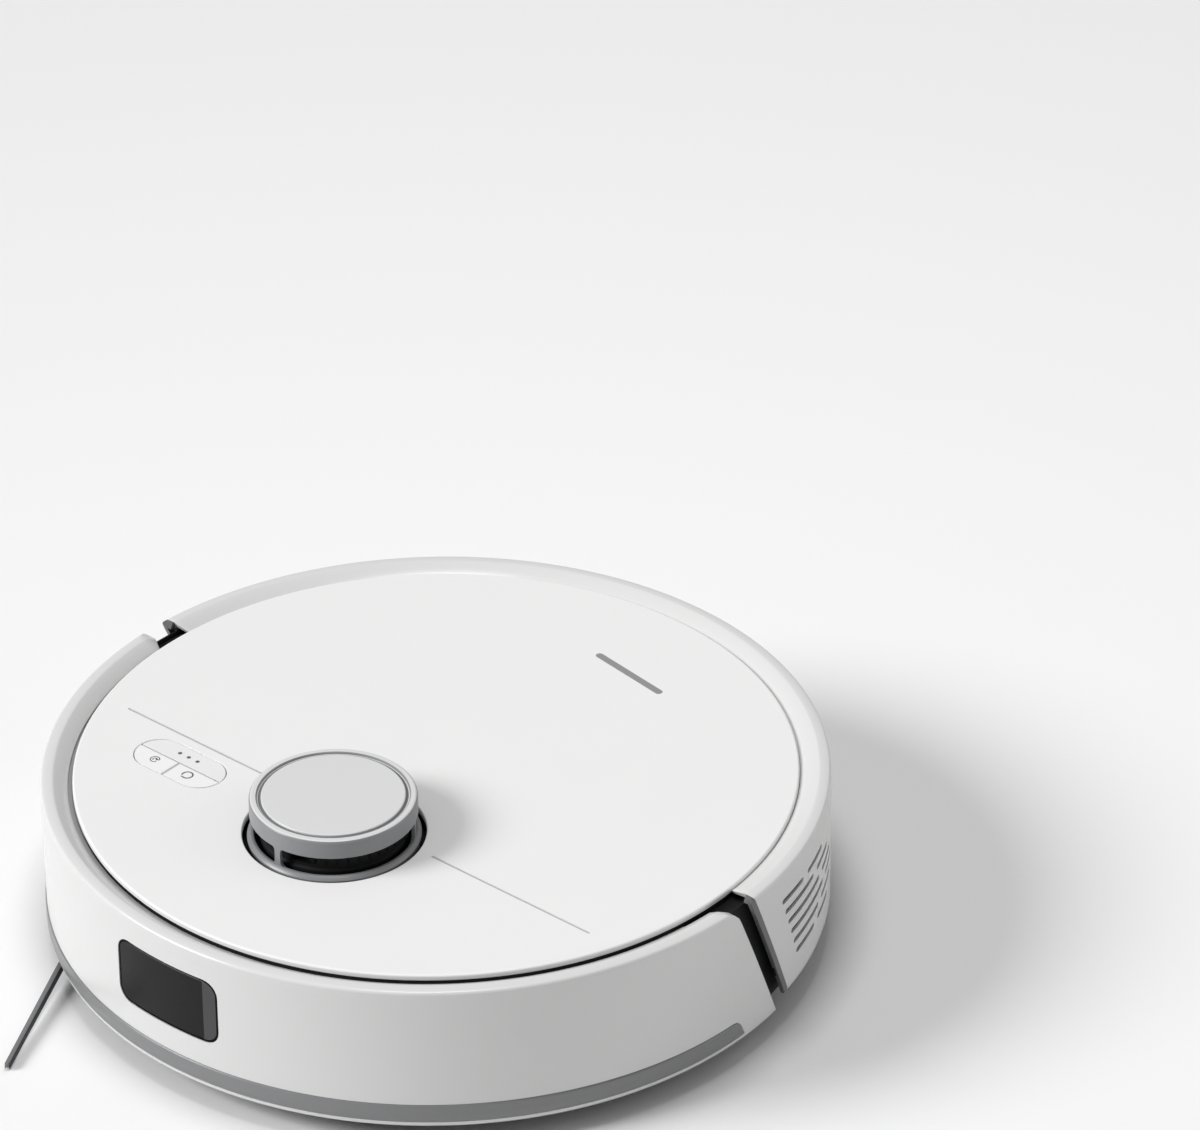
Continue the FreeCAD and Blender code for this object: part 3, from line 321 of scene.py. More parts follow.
def loft(rings, capped=True):
    """Points and faces through rings of equal length."""
    count = len(rings[0])
    points = [p for ring in rings for p in ring]
    faces = []
    for row in range(len(rings) - 1):
        for i in range(count):
            j = (i + 1) % count
            a, b = row * count, (row + 1) * count
            faces.append([a + i, a + j, b + j, b + i])
    if capped:
        faces.append(list(range(count))[::-1])
        faces.append(list(range((len(rings) - 1) * count, len(rings) * count)))
    return points, faces


def lathe(profile, centre, segments):
    """A closed (radius, z) outline turned once about an upright axis."""
    rings = []
    for step in range(segments):
        angle = 2 * math.pi * step / segments
        c, s = math.cos(angle), math.sin(angle)
        rings.append([(centre[0] + r * c, centre[1] + r * s, z) for r, z in profile])
    return loft(rings + [rings[0]], capped=False)


def lathe_x(profile, y, z, segments):
    """A closed (radius, x) outline turned about an axis along X."""
    points, faces = lathe(profile, (0, 0), segments)
    return [(p[2], y + p[0], z + p[1]) for p in points], faces


def arc(cx, cz, radius, start, end, steps=8):
    """Points of an arc, angles in degrees from the first axis."""
    angles = [math.radians(start + (end - start) * i / steps) for i in range(steps + 1)]
    return [(cx + radius * math.cos(a), cz + radius * math.sin(a)) for a in angles]


def circle(radius, cx=0.0, cy=0.0, steps=128):
    return [(cx + radius * math.cos(2 * math.pi * i / steps), cy + radius * math.sin(2 * math.pi * i / steps))
            for i in range(steps)]


def stacked(profile, centre=(0.0, 0.0), steps=128):
    """A closed solid through level circles, one for each (radius, z) of the profile."""
    return loft([[(x, y, z) for x, y in circle(r, *centre, steps)] for r, z in profile])


def polar(radius, degrees, centre=(0.0, 0.0)):
    angle = math.radians(degrees)
    return centre[0] + radius * math.cos(angle), centre[1] + radius * math.sin(angle)


def capsule_outline(cx, cy, length, width, steps=16):
    radius = width / 2
    reach = length / 2 - radius
    return arc(cx + reach, cy, radius, -90, 90, steps) + arc(cx - reach, cy, radius, 90, 270, steps)


def box_outline(x0, x1, y0, y1, radius, steps=8):
    """Rounded rectangle, anticlockwise."""
    corners = ((x1 - radius, y0 + radius, -90), (x1 - radius, y1 - radius, 0),
               (x0 + radius, y1 - radius, 90), (x0 + radius, y0 + radius, 180))
    points = []
    for cx, cy, start in corners:
        points += arc(cx, cy, radius, start, start + 90, steps)
    return points


def prism(outline, z0, z1, ease=0.0):
    """An outline in XY raised from z0 to z1, its top edge eased by shrinking towards the middle. With
    z1 below z0 and a negative ease, the lower edge spreads by that much instead."""
    if not ease:
        return loft([[(x, y, z) for x, y in outline] for z in (z0, z1)])
    cx = sum(p[0] for p in outline) / len(outline)
    cy = sum(p[1] for p in outline) / len(outline)
    half = max(max(abs(p[0] - cx), abs(p[1] - cy)) for p in outline)
    rings = []
    for z, inset in ((z0, 0), (z1 - ease, 0), (z1 - ease * 0.3, ease * 0.3), (z1, ease)):
        k = 1 - inset / half
        rings.append([(cx + (x - cx) * k, cy + (y - cy) * k, z) for x, y in outline])
    return loft(rings)


def clipped(outline, nx, ny, limit):
    """The part of a convex outline where nx*x + ny*y is at most the limit."""
    kept = []
    for i, (x, y) in enumerate(outline):
        px, py = outline[i - 1]
        d, e = nx * x + ny * y - limit, nx * px + ny * py - limit
        if (d > 0) != (e > 0):
            t = e / (e - d)
            kept.append((px + (x - px) * t, py + (y - py) * t))
        if d <= 0:
            kept.append((x, y))
    return kept


def bar(x0, x1, y0, y1, z0, z1):
    return loft([[(x0, y0, z), (x1, y0, z), (x1, y1, z), (x0, y1, z)] for z in (z0, z1)])


def turned_by(mesh, degrees):
    """The mesh turned about the upright axis through the origin."""
    c, s = math.cos(math.radians(degrees)), math.sin(math.radians(degrees))
    return [(x * c - y * s, x * s + y * c, z) for x, y, z in mesh[0]], mesh[1]


def moved(mesh, x, y, degrees=0.0):
    """The mesh turned about the origin, and then carried to a place."""
    points, faces = turned_by(mesh, degrees)
    return [(px + x, py + y, pz) for px, py, pz in points], faces


def around_body(outline, depths):
    """A cutter that follows the body's wall: an outline of (degrees, z) at several (radius, grow) depths."""
    ca = sum(p[0] for p in outline) / len(outline)
    cz = sum(p[1] for p in outline) / len(outline)
    rings = []
    for radius, grow in depths:
        ring = []
        for a, z in outline:
            da, dz = (a - ca) * math.radians(BODY_R), z - cz
            size = math.hypot(da, dz)
            angle = math.radians(ca + math.degrees((da * (1 + grow / size)) / BODY_R))
            ring.append((radius * math.cos(angle), radius * math.sin(angle), cz + dz * (1 + grow / size)))
        rings.append(ring)
    return loft(rings)


def curved_panel(centre, half, z0, z1, corner, r0, r1, ease=0.0, columns=36):
    """A plate with round corners that follows the body's wall, from radius r0 out to r1. It reaches
    half its width, measured along the wall, to each side of the centre angle."""
    rest = [corner * (1 - math.cos(math.radians(15 * k))) for k in range(6)]
    spots = sorted(set([0.0, ease] + rest))
    spots += [corner + (half - corner) * k / columns for k in range(columns + 1)]
    spots += [2 * half - spot for spot in spots[-2::-1]]
    rings = []
    for spot in spots:
        inside = min(spot, 2 * half - spot)
        pull = corner - math.sqrt(corner ** 2 - max(0.0, corner - inside) ** 2)
        low, high = z0 + pull, z1 - pull
        outer = r1 - max(0.0, ease - inside)
        angle = math.radians(centre) + (spot - half) / BODY_R
        profile = [(r0, low), (outer - ease, low), (outer, low + ease), (outer, (low + high) / 2),
                   (outer, high - ease), (outer - ease, high), (r0, high)]
        rings.append([(r * math.cos(angle), r * math.sin(angle), z) for r, z in profile])
    return loft(rings)


def wall_patch(side, start, end, r0, r1, z0, z1, steps=32):
    """A curved plate that follows the body's wall from one angle to another, on one side."""
    rings = []
    for step in range(steps + 1):
        angle = math.radians(start + (end - start) * step / steps)
        x, y = side * math.cos(angle), math.sin(angle)
        rings.append([(r * x, r * y, z) for r, z in ((r1, z0), (r1, z1), (r0, z1), (r0, z0))])
    return loft(rings)


# ---- Outer shells --------------------------------------------------------------------------

SIDES = ((-1, "right"), (1, "left"))
BUMPER_FOOT = (163.0, 77.3)                 # where its slope ends, beside the disc
REAR_FOOT = (COVER_R + 0.15, 78.4)
BUMPER_CHAMFER = 1.5
REAR_CHAMFER = 1.6
SHELL_STEPS = 180
TRIM_STEPS = 10


def bumper_edge(z):
    return BUMPER_EDGE_Y + EDGE_SLOPE * (COVER_TOP - z)


def rear_edge(z, r=BODY_R):
    """The rear shell's end line. It is the same at every radius."""
    return REAR_EDGE_Y + EDGE_SLOPE * (COVER_TOP - z)


def rounded_end(edge, radius, forward, top=BEAD_TOP, notch=0.0):
    """The end line of a shell, pulled in near the top so that its upper corner is round: towards -Y
    when forward is 1, towards +Y when it is -1. A notch pulls in the slope inside the crest too, the
    more the nearer it is to the disc."""
    def y_at(z, r=BODY_R):
        up = min(max(0.0, z - (top - radius)) / radius, 1.0)
        inward = max(0.0, CREST_R - r) / (CREST_R - COVER_R)
        return edge(z) - forward * (radius * (1 - math.sqrt(1 - up ** 2)) + notch * inward ** 1.3)
    return y_at


def shell_paths(bottom, chamfer, foot=None):
    """Outer and inner outline of a shell wall, with as many points each: up the wall, round its upper
    edge, over a shallow crown to the crest and, with a foot (radius, z), down the slope beside the disc."""
    edge_r = BODY_R - EDGE_R
    crown_z = BEAD_TOP - CROWN_R
    edge_z = crown_z + math.sqrt((CROWN_R - EDGE_R) ** 2 - (edge_r - CREST_R) ** 2)
    lean = math.degrees(math.atan2(edge_z - crown_z, edge_r - CREST_R))
    start = bottom + chamfer * 1.4
    rows = 22
    outer = [(BODY_R - chamfer, bottom), (BODY_R - chamfer * 0.25, bottom + chamfer * 0.7)]
    outer += [(BODY_R, start + (edge_z - start) * i / rows) for i in range(rows + 1)]
    outer += arc(edge_r, edge_z, EDGE_R, 0, lean, 8)[1:]
    outer += arc(CREST_R, crown_z, CROWN_R, lean, 90, 5)[1:]
    inner_r, shoulder = BODY_R - WALL, BEAD_TOP - WALL - 0.8
    inner = [(min(r, inner_r), min(z, shoulder)) for r, z in outer]
    if foot:
        foot_r, foot_z = foot
        bend = 3.0
        slope = arc(CREST_R, BEAD_TOP - bend, bend, 90, 112, 4)[1:]
        slope += [(foot_r + 0.5, foot_z + 0.2), (foot_r, foot_z - 0.3)]
        outer += slope
        inner += [(max(r, foot_r + 0.3), max(min(z - WALL, shoulder), foot_z - 1.6)) for r, z in slope]
    return outer, inner


def closed_wall(rings, half):
    """A wall through rings, each of them half outside and half inside points, with both ends filled."""
    points, faces = loft(rings, capped=False)
    count = len(rings[0])
    for base in (0, (len(rings) - 1) * count):
        for k in range(half - 1):
            faces.append([base + k, base + k + 1, base + count - 2 - k, base + count - 1 - k])
    return points, faces


def shell_wall(paths, end, forward):
    """A shell wall swept round the body, between two mirrored end lines. forward: its middle points to
    -Y, otherwise to +Y."""
    sign = -1 if forward else 1
    outer, inner = paths
    rings = []
    for step in range(SHELL_STEPS + 1):
        share = -1 + 2 * step / SHELL_STEPS
        ring = []
        for r, z in outer + inner[::-1]:
            angle = share * math.acos(max(-1.0, min(1.0, sign * end(z, r) / r)))
            ring.append((r * math.sin(angle), sign * r * math.cos(angle), z))
        rings.append(ring)
    return closed_wall(rings, len(outer))


WINDOW_CORNER = 7.5
WINDOW_BAND_ANGLE = 6.8


def window_panel(grow, r0, r1, ease=0.0):
    """A panel of the window's outline, grown all round, between two radii."""
    low, high = box_mm("sensor_window")
    start, end = math.asin(low.x / BODY_R), math.asin(high.x / BODY_R)
    centre = -90 + math.degrees((start + end) / 2)
    spare = 0.1 + grow
    half = BODY_R * (end - start) / 2 + spare
    return curved_panel(centre, half, low.z - spare, high.z + spare, WINDOW_CORNER + grow, r0, r1, ease)


def window():
    """The black frame, the smoked pane, and the paler band at its end towards the robot's left."""
    rim = made("window_rim", *window_panel(-0.05, 171.2, BODY_R - 0.3, 0.25), "window_rim", "bumper",
               "window_smoke")
    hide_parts("sensor_window")
    carve(rim, [window_panel(-0.95, 170, BODY_R + 2)])
    made("window_pane", *window_panel(-1.0, 171.6, BODY_R - 0.3, 0.3), "window", "bumper", "window_smoke")
    band = made("window_side_band", *window_panel(-1.3, BODY_R - 0.7, BODY_R - 0.26, 0.04), "window_band",
                "bumper", "window_smoke")
    edge = BODY_R * math.sin(math.radians(WINDOW_BAND_ANGLE))
    carve(band, [bar(-100, edge, -200, -100, 0, 100)])


STRIP_BACK = 23.6           # the strip stops this far before the bumper's end
STRIP_CORNER = 4.0
GROOVE_ROOM = 0.15


def strip_end(z):
    return bumper_edge(z) - STRIP_BACK


def groove_end(z):
    return strip_end(z) + 0.25


def strip_paths(depth, bulge, low, high):
    """Outlines of the soft strip, or of its groove. Their rows lie closer where the corner is round."""
    outer = [(BODY_R + 0.05, low), (BODY_R + bulge, low + 0.9), (BODY_R + bulge, high - STRIP_CORNER)]
    outer += [(BODY_R + bulge, high - rest) for rest in (3.0, 2.2, 1.6, 1.1, 0.7)]
    outer += [(BODY_R + 0.6 * bulge, high - 0.35), (BODY_R + 0.05, high)]
    return outer, [(BODY_R - depth, z) for r, z in outer]


def bumper():
    ends = rounded_end(bumper_edge, 6.5, 1, notch=8.0)
    wall = shell_wall(shell_paths(BUMPER_BOTTOM, BUMPER_CHAMFER, BUMPER_FOOT), ends, True)
    skin = made("bumper_skin", *wall, "shell", "bumper", "shell_white")
    ease_edges(skin, 0.55)
    strip_low, strip_high = box_mm("bumper_strip")
    groove_top = strip_high.z + GROOVE_ROOM
    groove_ends = rounded_end(groove_end, STRIP_CORNER, 1, groove_top)
    groove_paths = strip_paths(1.1, 3.0, strip_low.z - GROOVE_ROOM, groove_top)
    carve(skin, [shell_wall(groove_paths, groove_ends, True)])
    carve(skin, [window_panel(0.0, 168, BODY_R + 3)])
    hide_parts("bumper_shell")

    strip_ends = rounded_end(strip_end, STRIP_CORNER, 1, strip_high.z)
    wall = shell_wall(strip_paths(1.0, 0.55, strip_low.z, strip_high.z), strip_ends, True)
    strip = made("bumper_band", *wall, "strip", "bumper", "strip_grey")
    ease_edges(strip, 0.25)
    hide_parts("bumper_strip")
    window()


# painted shade: a black sheet inside the gap between bumper and rear shell, standing in for the shade there
GAP_SHADE_R = 169.4
GAP_SHADE_TOP = 76.5
VENT_TOP_Z = 65.6
VENT_PITCH = 6.8
VENT_HALF = 1.3
VENT_BRIDGE = 1.8
VENT_MARGIN = 3.0
VENT_ROWS = (               # degrees from +X: where a row of slots starts, is bridged, and ends
    (10.6, 17.5, 26.3),
    (11.5, 21.9, 30.5),
    (12.5, 25.0, 33.5),
    (13.4, 27.5, 35.5),
    (14.3, 24.6, 34.0),
    (15.2, 22.5, 31.0),
)


def vent_cutters():
    """Two slots in each row on the left side, and their mirror images on the right."""
    scale = math.degrees(1 / BODY_R)
    depths = ((169, 0), (BODY_R - 0.25, 0), (BODY_R + 0.25, 0.25), (BODY_R + 3, 0.25))
    cutters = []
    for row, (first, split, last) in enumerate(VENT_ROWS):
        z = VENT_TOP_Z - row * VENT_PITCH
        for a, b in ((first, split), (split + VENT_BRIDGE, last)):
            flat = box_outline(a / scale, b / scale, z - VENT_HALF, z + VENT_HALF, 1.2, 4)
            cutters.append(around_body([(p * scale, q) for p, q in flat], depths))
    mirror = [([(-x, y, z) for x, y, z in points], faces) for points, faces in cutters]
    return cutters + mirror


def gap_trim(side, name):
    """The grey strip along the rear shell's end, open towards the bumper."""
    def trim_end(z):
        return rear_edge(z) - TRIM_WIDTH
    ends = rounded_end(trim_end, 3.0, -1)
    outer, inner = shell_paths(REAR_BOTTOM, REAR_CHAMFER)
    rings = []
    for step in range(TRIM_STEPS + 1):
        ring = []
        for r, z in outer + inner[::-1]:
            y = ends(z) + (rear_edge(z) - 0.12 - ends(z)) * step / TRIM_STEPS
            ring.append((side * math.sqrt(r * r - y * y), y, z))
        rings.append(ring)
    trim = made(name, *closed_wall(rings, len(outer)), "trim", "chassis", "trim_grey")
    ease_edges(trim, 0.35)
    return trim


def rear():
    wall = shell_wall(shell_paths(REAR_BOTTOM, REAR_CHAMFER, REAR_FOOT), rear_edge, False)
    skin = made("rear_skin", *wall, "shell", "chassis", "shell_white")
    ease_edges(skin, 0.45)
    face_high = box_mm("bin_face")[1]
    half = face_high.x + 0.8
    opening = box_outline(-half, half, 0, face_high.z + 0.8, 4.0)
    bin_hole = loft([[(x, y, z) for x, z in opening] for y in (120, 190)])
    # painted shade: the wall is thinned round the vents and a near-black sheet set close behind the slots, so
    # that they look dark like deep shaded holes
    vent_shade_low = VENT_TOP_Z - (len(VENT_ROWS) - 1) * VENT_PITCH - VENT_MARGIN
    vent_shade_high = VENT_TOP_Z + VENT_MARGIN
    thin_r = BODY_R - 1.2
    pockets = [wall_patch(side, 8.5, 37.5, 168, thin_r, vent_shade_low - 0.5, vent_shade_high + 0.5) for side, _ in SIDES]
    carve(skin, pockets)
    carve(skin, vent_cutters() + [bin_hole])
    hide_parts("rear_shell")
    for side, word in SIDES:
        patch = wall_patch(side, 9, 37, thin_r - 0.8, thin_r - 0.1, vent_shade_low, vent_shade_high)
        made("vent_shade_sheet_" + word, *patch, "mesh", "chassis", "inner_black")
    for side, word in SIDES:
        trim = gap_trim(side, "gap_trim_" + word)
        if side > 0:
            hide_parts("gap_trims")
        # painted shade: black sheet behind the gap, in place of the shade inside it
        gap_shade = wall_patch(side, -6, 17, GAP_SHADE_R - 0.8, GAP_SHADE_R, REAR_BOTTOM, GAP_SHADE_TOP, 12)
        made("gap_painted_shade_" + word, *gap_shade, "black", "chassis", "inner_black")
    shelf = wall_patch(1, -173, -7, COVER_R - 0.3, COVER_R + 4, 74.9, 75.3, 96)
    made("gap_shelf", *shelf, "line", "chassis", "trim_grey")


KEY_DEPTH_R = BODY_R - 1.4  # the face's hole is close to the button outside this, and wide inside it
KEY_CORNER = 3.8
GRIPS = 4
GRIP_PITCH = 2.8


def bin_face():
    low, high = box_mm("bin_face")
    half = BODY_R * math.asin(high.x / BODY_R)
    face = made("bin_front", *curved_panel(90, half, low.z, high.z, 3.4, 172.3, BODY_R, 0.6), "shell", "bin",
                "shell_white")
    key_low, key_high = box_mm("bin_release")
    key_half = BODY_R * math.asin(key_high.x / BODY_R)
    for r0, r1, room in ((KEY_DEPTH_R, BODY_R + 3, 0.6), (166, KEY_DEPTH_R + 0.1, 2.2)):
        low, high = key_low.z - room, key_high.z + room
        carve(face, [curved_panel(90, key_half + room, low, high, KEY_CORNER + room, r0, r1)])
    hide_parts("bin_face")
    plate = curved_panel(90, key_half, key_low.z, key_high.z, KEY_CORNER, 168.4, BODY_R - 0.2, 0.6)
    button = made("bin_button", *plate, "trim", "bin_button", "trim_grey")
    for row in range(GRIPS):
        z = (key_low.z + key_high.z) / 2 + (row - (GRIPS - 1) / 2) * GRIP_PITCH
        carve(button, [curved_panel(90, key_half - 4.5, z - 0.45, z + 0.45, 0.44, BODY_R - 0.75, BODY_R + 2)])
    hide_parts("bin_release")


# ---- Top disc, seam, keys ------------------------------------------------------------------

SEAM_Y = -54.5
SEAM_WIDTH = 1.3
SEAMS = ((-136.6, -46.0), (46.0, 136.6))
INLAY = (16.7, 112.0)
INLAY_TURN = -8.5
KEYS = (-88.0, -72.0)
CAPSULE = (47.4, 22.7)
DIVIDER_Y = -71.7
SPLIT_X = -88.3
KEY_GAP_HALF = 0.5
KEY_RIB_HALF = 0.46
LED_X = (-93.6, -88.3, -83.0)
LED_Y = -66.0
STEM_X = {"key_spot": -99.0, "key_home": -77.6}
STEM_Y = -76.8


def flared(outline, floor, ease):
    """Cutter for a hole or groove in the disc, with its rim eased."""
    cx = sum(p[0] for p in outline) / len(outline)
    cy = sum(p[1] for p in outline) / len(outline)
    rings = []
    for z, grow in ((floor, 0), (COVER_TOP - ease, 0), (COVER_TOP - ease * 0.35, ease * 0.3),
                    (COVER_TOP + 0.02, ease), (COVER_TOP + 2, ease)):
        ring = []
        for x, y in outline:
            size = math.hypot(x - cx, y - cy)
            ring.append((x + (x - cx) / size * grow, y + (y - cy) / size * grow, z))
        rings.append(ring)
    return loft(rings)


def key_capsule(grow=0.0):
    return capsule_outline(*KEYS, CAPSULE[0] + grow, CAPSULE[1] + grow, 24)


def top_disc():
    edge_r, middle_r = COVER_R - 6, 0.5
    profile = [(middle_r, COVER_LOW), (edge_r, COVER_LOW), (COVER_R - 0.5, COVER_LOW)]
    profile += [(COVER_R, COVER_LOW + 0.5), (COVER_R, COVER_TOP - 1.0)]
    profile += arc(COVER_R - 1.0, COVER_TOP - 1.0, 1.0, 0, 90, 6)[1:]
    profile += [(edge_r, COVER_TOP), (middle_r, COVER_TOP)]
    disc = made("top_disc", *stacked(profile, steps=256), "cover", "chassis", "cover_white", 40)
    cutters = [
        flared(circle(40.4, *TURRET), COVER_LOW - 2, 0.5),
        flared(key_capsule(0.9), COVER_LOW - 2, 0.2),
    ]
    half = SEAM_WIDTH / 2
    for a, b in SEAMS:
        groove = box_outline(a, b, SEAM_Y - half, SEAM_Y + half, 0.6, 4)
        cutters.append(prism(groove, COVER_TOP - 0.6, COVER_TOP + 1))
    carve(disc, cutters, 40)
    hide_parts("top_cover")
    half -= 0.02
    lines = [prism(box_outline(a + 0.02, b - 0.02, SEAM_Y - half, SEAM_Y + half, 0.58, 4),
                   COVER_TOP - 0.55, COVER_TOP - 0.25)
             for a, b in SEAMS]
    made("seam_lines", *merged(*lines), "line", "chassis", "trim_grey")
    mark = prism(box_outline(-22, 22, -1.8, 1.8, 1.7), COVER_TOP - 0.3, COVER_TOP + 0.02)
    made("name_place_inlay", *moved(mark, *INLAY, INLAY_TURN), "inlay", "chassis", "trim_grey")


def key_panel():
    """The capsule: a fixed upper half with the lights, and two keys below it with their stems."""
    outline = key_capsule()
    upper = clipped(outline, 0, -1, -(DIVIDER_Y + KEY_GAP_HALF))
    lower = clipped(outline, 0, 1, DIVIDER_Y - KEY_GAP_HALF)
    panel = made("key_panel", *prism(upper, COVER_LOW, COVER_TOP - 0.05, 0.3), "panel", "chassis",
                 "cover_white")
    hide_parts("button_panel")
    lights = [prism(circle(1.0, x, LED_Y, 24), COVER_TOP - 0.2, COVER_TOP - 0.02, 0.06) for x in LED_X]
    made("status_lights", *merged(*lights), "print", "chassis", "window_smoke")
    for name, body, sign in (("key_spot", "spot_button", 1), ("key_home", "home_button", -1)):
        shape = clipped(lower, sign, 0, sign * SPLIT_X - KEY_GAP_HALF)
        key = made(name + "_cap", *prism(shape, COVER_LOW + 0.9, COVER_TOP, 0.35), "key", body, "key_white")
        stem = prism(circle(1.6, STEM_X[name], STEM_Y, 24), 76.3, COVER_LOW + 1.0)
        made(name + "_stem", *stem, "key", body, "key_white")
        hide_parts(name)
    bed = made("key_bed", *prism(key_capsule(1.6), COVER_LOW - 0.9, COVER_LOW - 0.1), "line", "chassis",
               "trim_grey")
    carve(bed, [prism(circle(2.3, x, STEM_Y, 32), COVER_LOW - 2, COVER_LOW + 1) for x in STEM_X.values()])
    reach, top, rib = CAPSULE[0] / 2 - 3.2, COVER_TOP - 0.3, KEY_RIB_HALF
    ribs = [bar(KEYS[0] - reach, KEYS[0] + reach, DIVIDER_Y - rib, DIVIDER_Y + rib, COVER_LOW, top),
            bar(SPLIT_X - rib, SPLIT_X + rib, KEYS[1] - CAPSULE[1] / 2, DIVIDER_Y - rib, COVER_LOW, top)]
    made("key_ribs", *merged(*ribs), "line", "chassis", "trim_grey")


def print_ring(cx, cy, radius, width, start, end, z0, z1):
    """A printed arc, as a thin raised strip."""
    steps = 40
    outer = arc(cx, cy, radius + width / 2, start, end, steps)
    inner = arc(cx, cy, radius - width / 2, start, end, steps)
    return loft([[(*a, z0), (*a, z1), (*b, z1), (*b, z0)] for a, b in zip(outer, inner)])


def key_icons():
    z0, z1 = COVER_TOP - 0.05, COVER_TOP + 0.03
    home = [print_ring(-79.0, -76.7, 2.45, 0.75, -110, 215, z0, z1)]
    home.append(prism(box_outline(-80.9, -79.4, -79.35, -78.75, 0.25, 3), z0, z1))
    made("icon_home", *merged(*home), "print", "home_button", "trim_grey")
    spot = [print_ring(-98.8, -76.7, 2.1, 0.5, 20, 330, z0, z1),
            print_ring(-98.8, -76.7, 0.95, 0.5, -40, 250, z0, z1),
            prism(box_outline(-98.9, -96.6, -76.5, -76.0, 0.2, 3), z0, z1)]
    made("icon_spot", *merged(*spot), "print", "spot_button", "trim_grey")


# ---- Turret --------------------------------------------------------------------------------

POST_ANGLES = (-90, 30, 150)


def turret_post(angle):
    """A post across the slot, whose foot and head spread into the rings."""
    ring_points = []
    for z, grow in ((SLOT_LOW - 0.4, 2.2), (SLOT_LOW + 0.5, 0.75), (SLOT_LOW + 1.4, 0.12), (85.7, 0.0),
                    (SLOT_HIGH - 1.4, 0.12), (SLOT_HIGH - 0.5, 0.75), (SLOT_HIGH + 0.3, 2.2)):
        half = math.degrees((1.5 + grow) / 35.4)
        turns = [angle + half * share for share in (-1, -0.5, 0, 0.5, 1)]
        spots = [(34.9, turn) for turn in turns] + [(36.35, turn) for turn in turns[::-1]]
        ring_points.append([(*polar(r, turn, TURRET), z) for r, turn in spots])
    return loft(ring_points)


def turret():
    top = box_mm("turret_cover")[1].z
    edge, low = 1.4, SLOT_HIGH
    cap = [(33.5, low + 0.4), (34.2, low), (TURRET_R - 0.4, low), (TURRET_R, low + 0.4),
           (TURRET_R, top - edge)]
    cap += arc(TURRET_R - edge, top - edge, edge, 0, 84, 8)[1:]
    cap += [(33.9, top), (33.5, top - 0.3), (33.3, top - 0.9), (31.0, top - 1.0), (31.0, 95.5), (33.5, 95.5)]
    foot = [(34.9, 77.8), (36.2, 76.8), (38.0, 76.8), (38.2, 77.1), (38.2, 78.9), (37.9, 79.4),
            (36.9, 80.2), (36.4, SLOT_LOW), (35.4, SLOT_LOW), (34.9, SLOT_LOW - 0.4)]
    ring = made("turret_band", *lathe(cap, TURRET, 192), "band", "turret", "band_grey", 30)
    # painted highlight and shade: the band's upward-facing faces take the paler lid colour, so its top looks
    # lit and its side darker, though the band is all one grey part
    ring.data.materials.append(MATERIALS["lid"])
    for face in ring.data.polygons:
        face.material_index = int(face.normal.z > 0.8)
    made("turret_foot", *lathe(foot, TURRET, 192), "band", "turret", "band_grey", 30)
    roof = stacked([(33.3, 95.5), (33.3, top - 0.92)], TURRET)
    made("turret_roof", *roof, "groove", "turret", "trim_grey")
    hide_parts("turret_cover")
    posts = [turret_post(angle) for angle in POST_ANGLES]
    made("turret_posts", *merged(*posts), "band", "turret", "band_grey", 50)
    legs = [prism(circle(1.0, *polar(37.1, angle, TURRET), 16), 71.6, 77.5) for angle in POST_ANGLES]
    made("turret_legs", *merged(*legs), "band", "turret", "band_grey")
    lid_profile = [(0.3, top - 1.0), (31.6, top - 1.0), (31.6, top - 0.35), (31.4, top - 0.1), (31.1, top),
                   (0.3, top)]
    lid = made("turret_disc", *stacked(lid_profile, TURRET), "lid", "turret", "lid_grey", 30)
    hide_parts("turret_lid")


def lens(x, z, radius, y):
    """A bulging round lens that looks towards -Y."""
    rings = []
    for k, bulge in ((1.0, 0.0), (1.0, 0.5), (0.86, 1.0), (0.6, 1.5), (0.25, 1.8)):
        rings.append([(px, y - bulge, pz) for px, pz in circle(radius * k, x, z, 32)])
    return loft(rings)


def lidar():
    """The spinning drum seen through the turret's slot, with its laser and receiver optics."""
    y = TURRET[1]
    drum = [(0.3, 66.2), (4.0, 66.2), (4.0, 71.3), (31.6, 71.3), (31.6, 71.9), (30.0, 72.2), (30.0, 75.4),
            (31.6, 76.0), (31.6, 77.4), (32.6, 78.6), (32.6, 80.4), (31.4, 81.2), (31.4, 91.2)]
    drum += arc(29.6, 91.2, 1.8, 0, 90, 5)[1:] + [(0.3, 93.0)]
    head = made("lidar_drum", *stacked(drum, TURRET), "black", "lidar", "inner_black")
    pockets = []
    for x0, x1, z0, z1, depth in ((-11, -1, 83.0, 90.0, 29.4), (3, 15, 82.6, 90.6, 27.4)):
        outline = box_outline(x0, x1, z0, z1, 1.4, 4)
        pockets.append(loft([[(x, back, z) for x, z in outline] for back in (y - 40, y - depth)]))
    carve(head, pockets)
    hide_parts("lidar_head")
    lenses = [lens(-6, 86.5, 2.6, y - 29.2), lens(9, 86.6, 3.3, y - 27.2)]
    made("lidar_lenses", *merged(*lenses), "gloss_black", "lidar", "window_smoke", 45)
    rib = bar(31.2, 31.75, -0.35, 0.35, 83.2, 90.4)
    ribs = [moved(rib, *TURRET, angle) for angle in range(0, 360, 9) if not 250 < angle < 290]
    made("lidar_ribs", *merged(*ribs), "black", "lidar", "inner_black")


# ---- Running gear and underside ------------------------------------------------------------

def tube(path, radius, across, sides=8, tip=1.0):
    """A bar along a line of points. across: a direction that the line never runs along."""
    rings = []
    last = len(path) - 1
    for i, point in enumerate(path):
        ahead = Vector(path[min(i + 1, last)]) - Vector(path[max(i - 1, 0)])
        right = ahead.cross(Vector(across)).normalized()
        up = right.cross(ahead).normalized()
        size = radius * (1 + (tip - 1) * i / last)
        rings.append([tuple(Vector(point) + right * size * math.cos(a) + up * size * math.sin(a))
                      for a in (2 * math.pi * k / sides for k in range(sides))])
    return loft(rings)


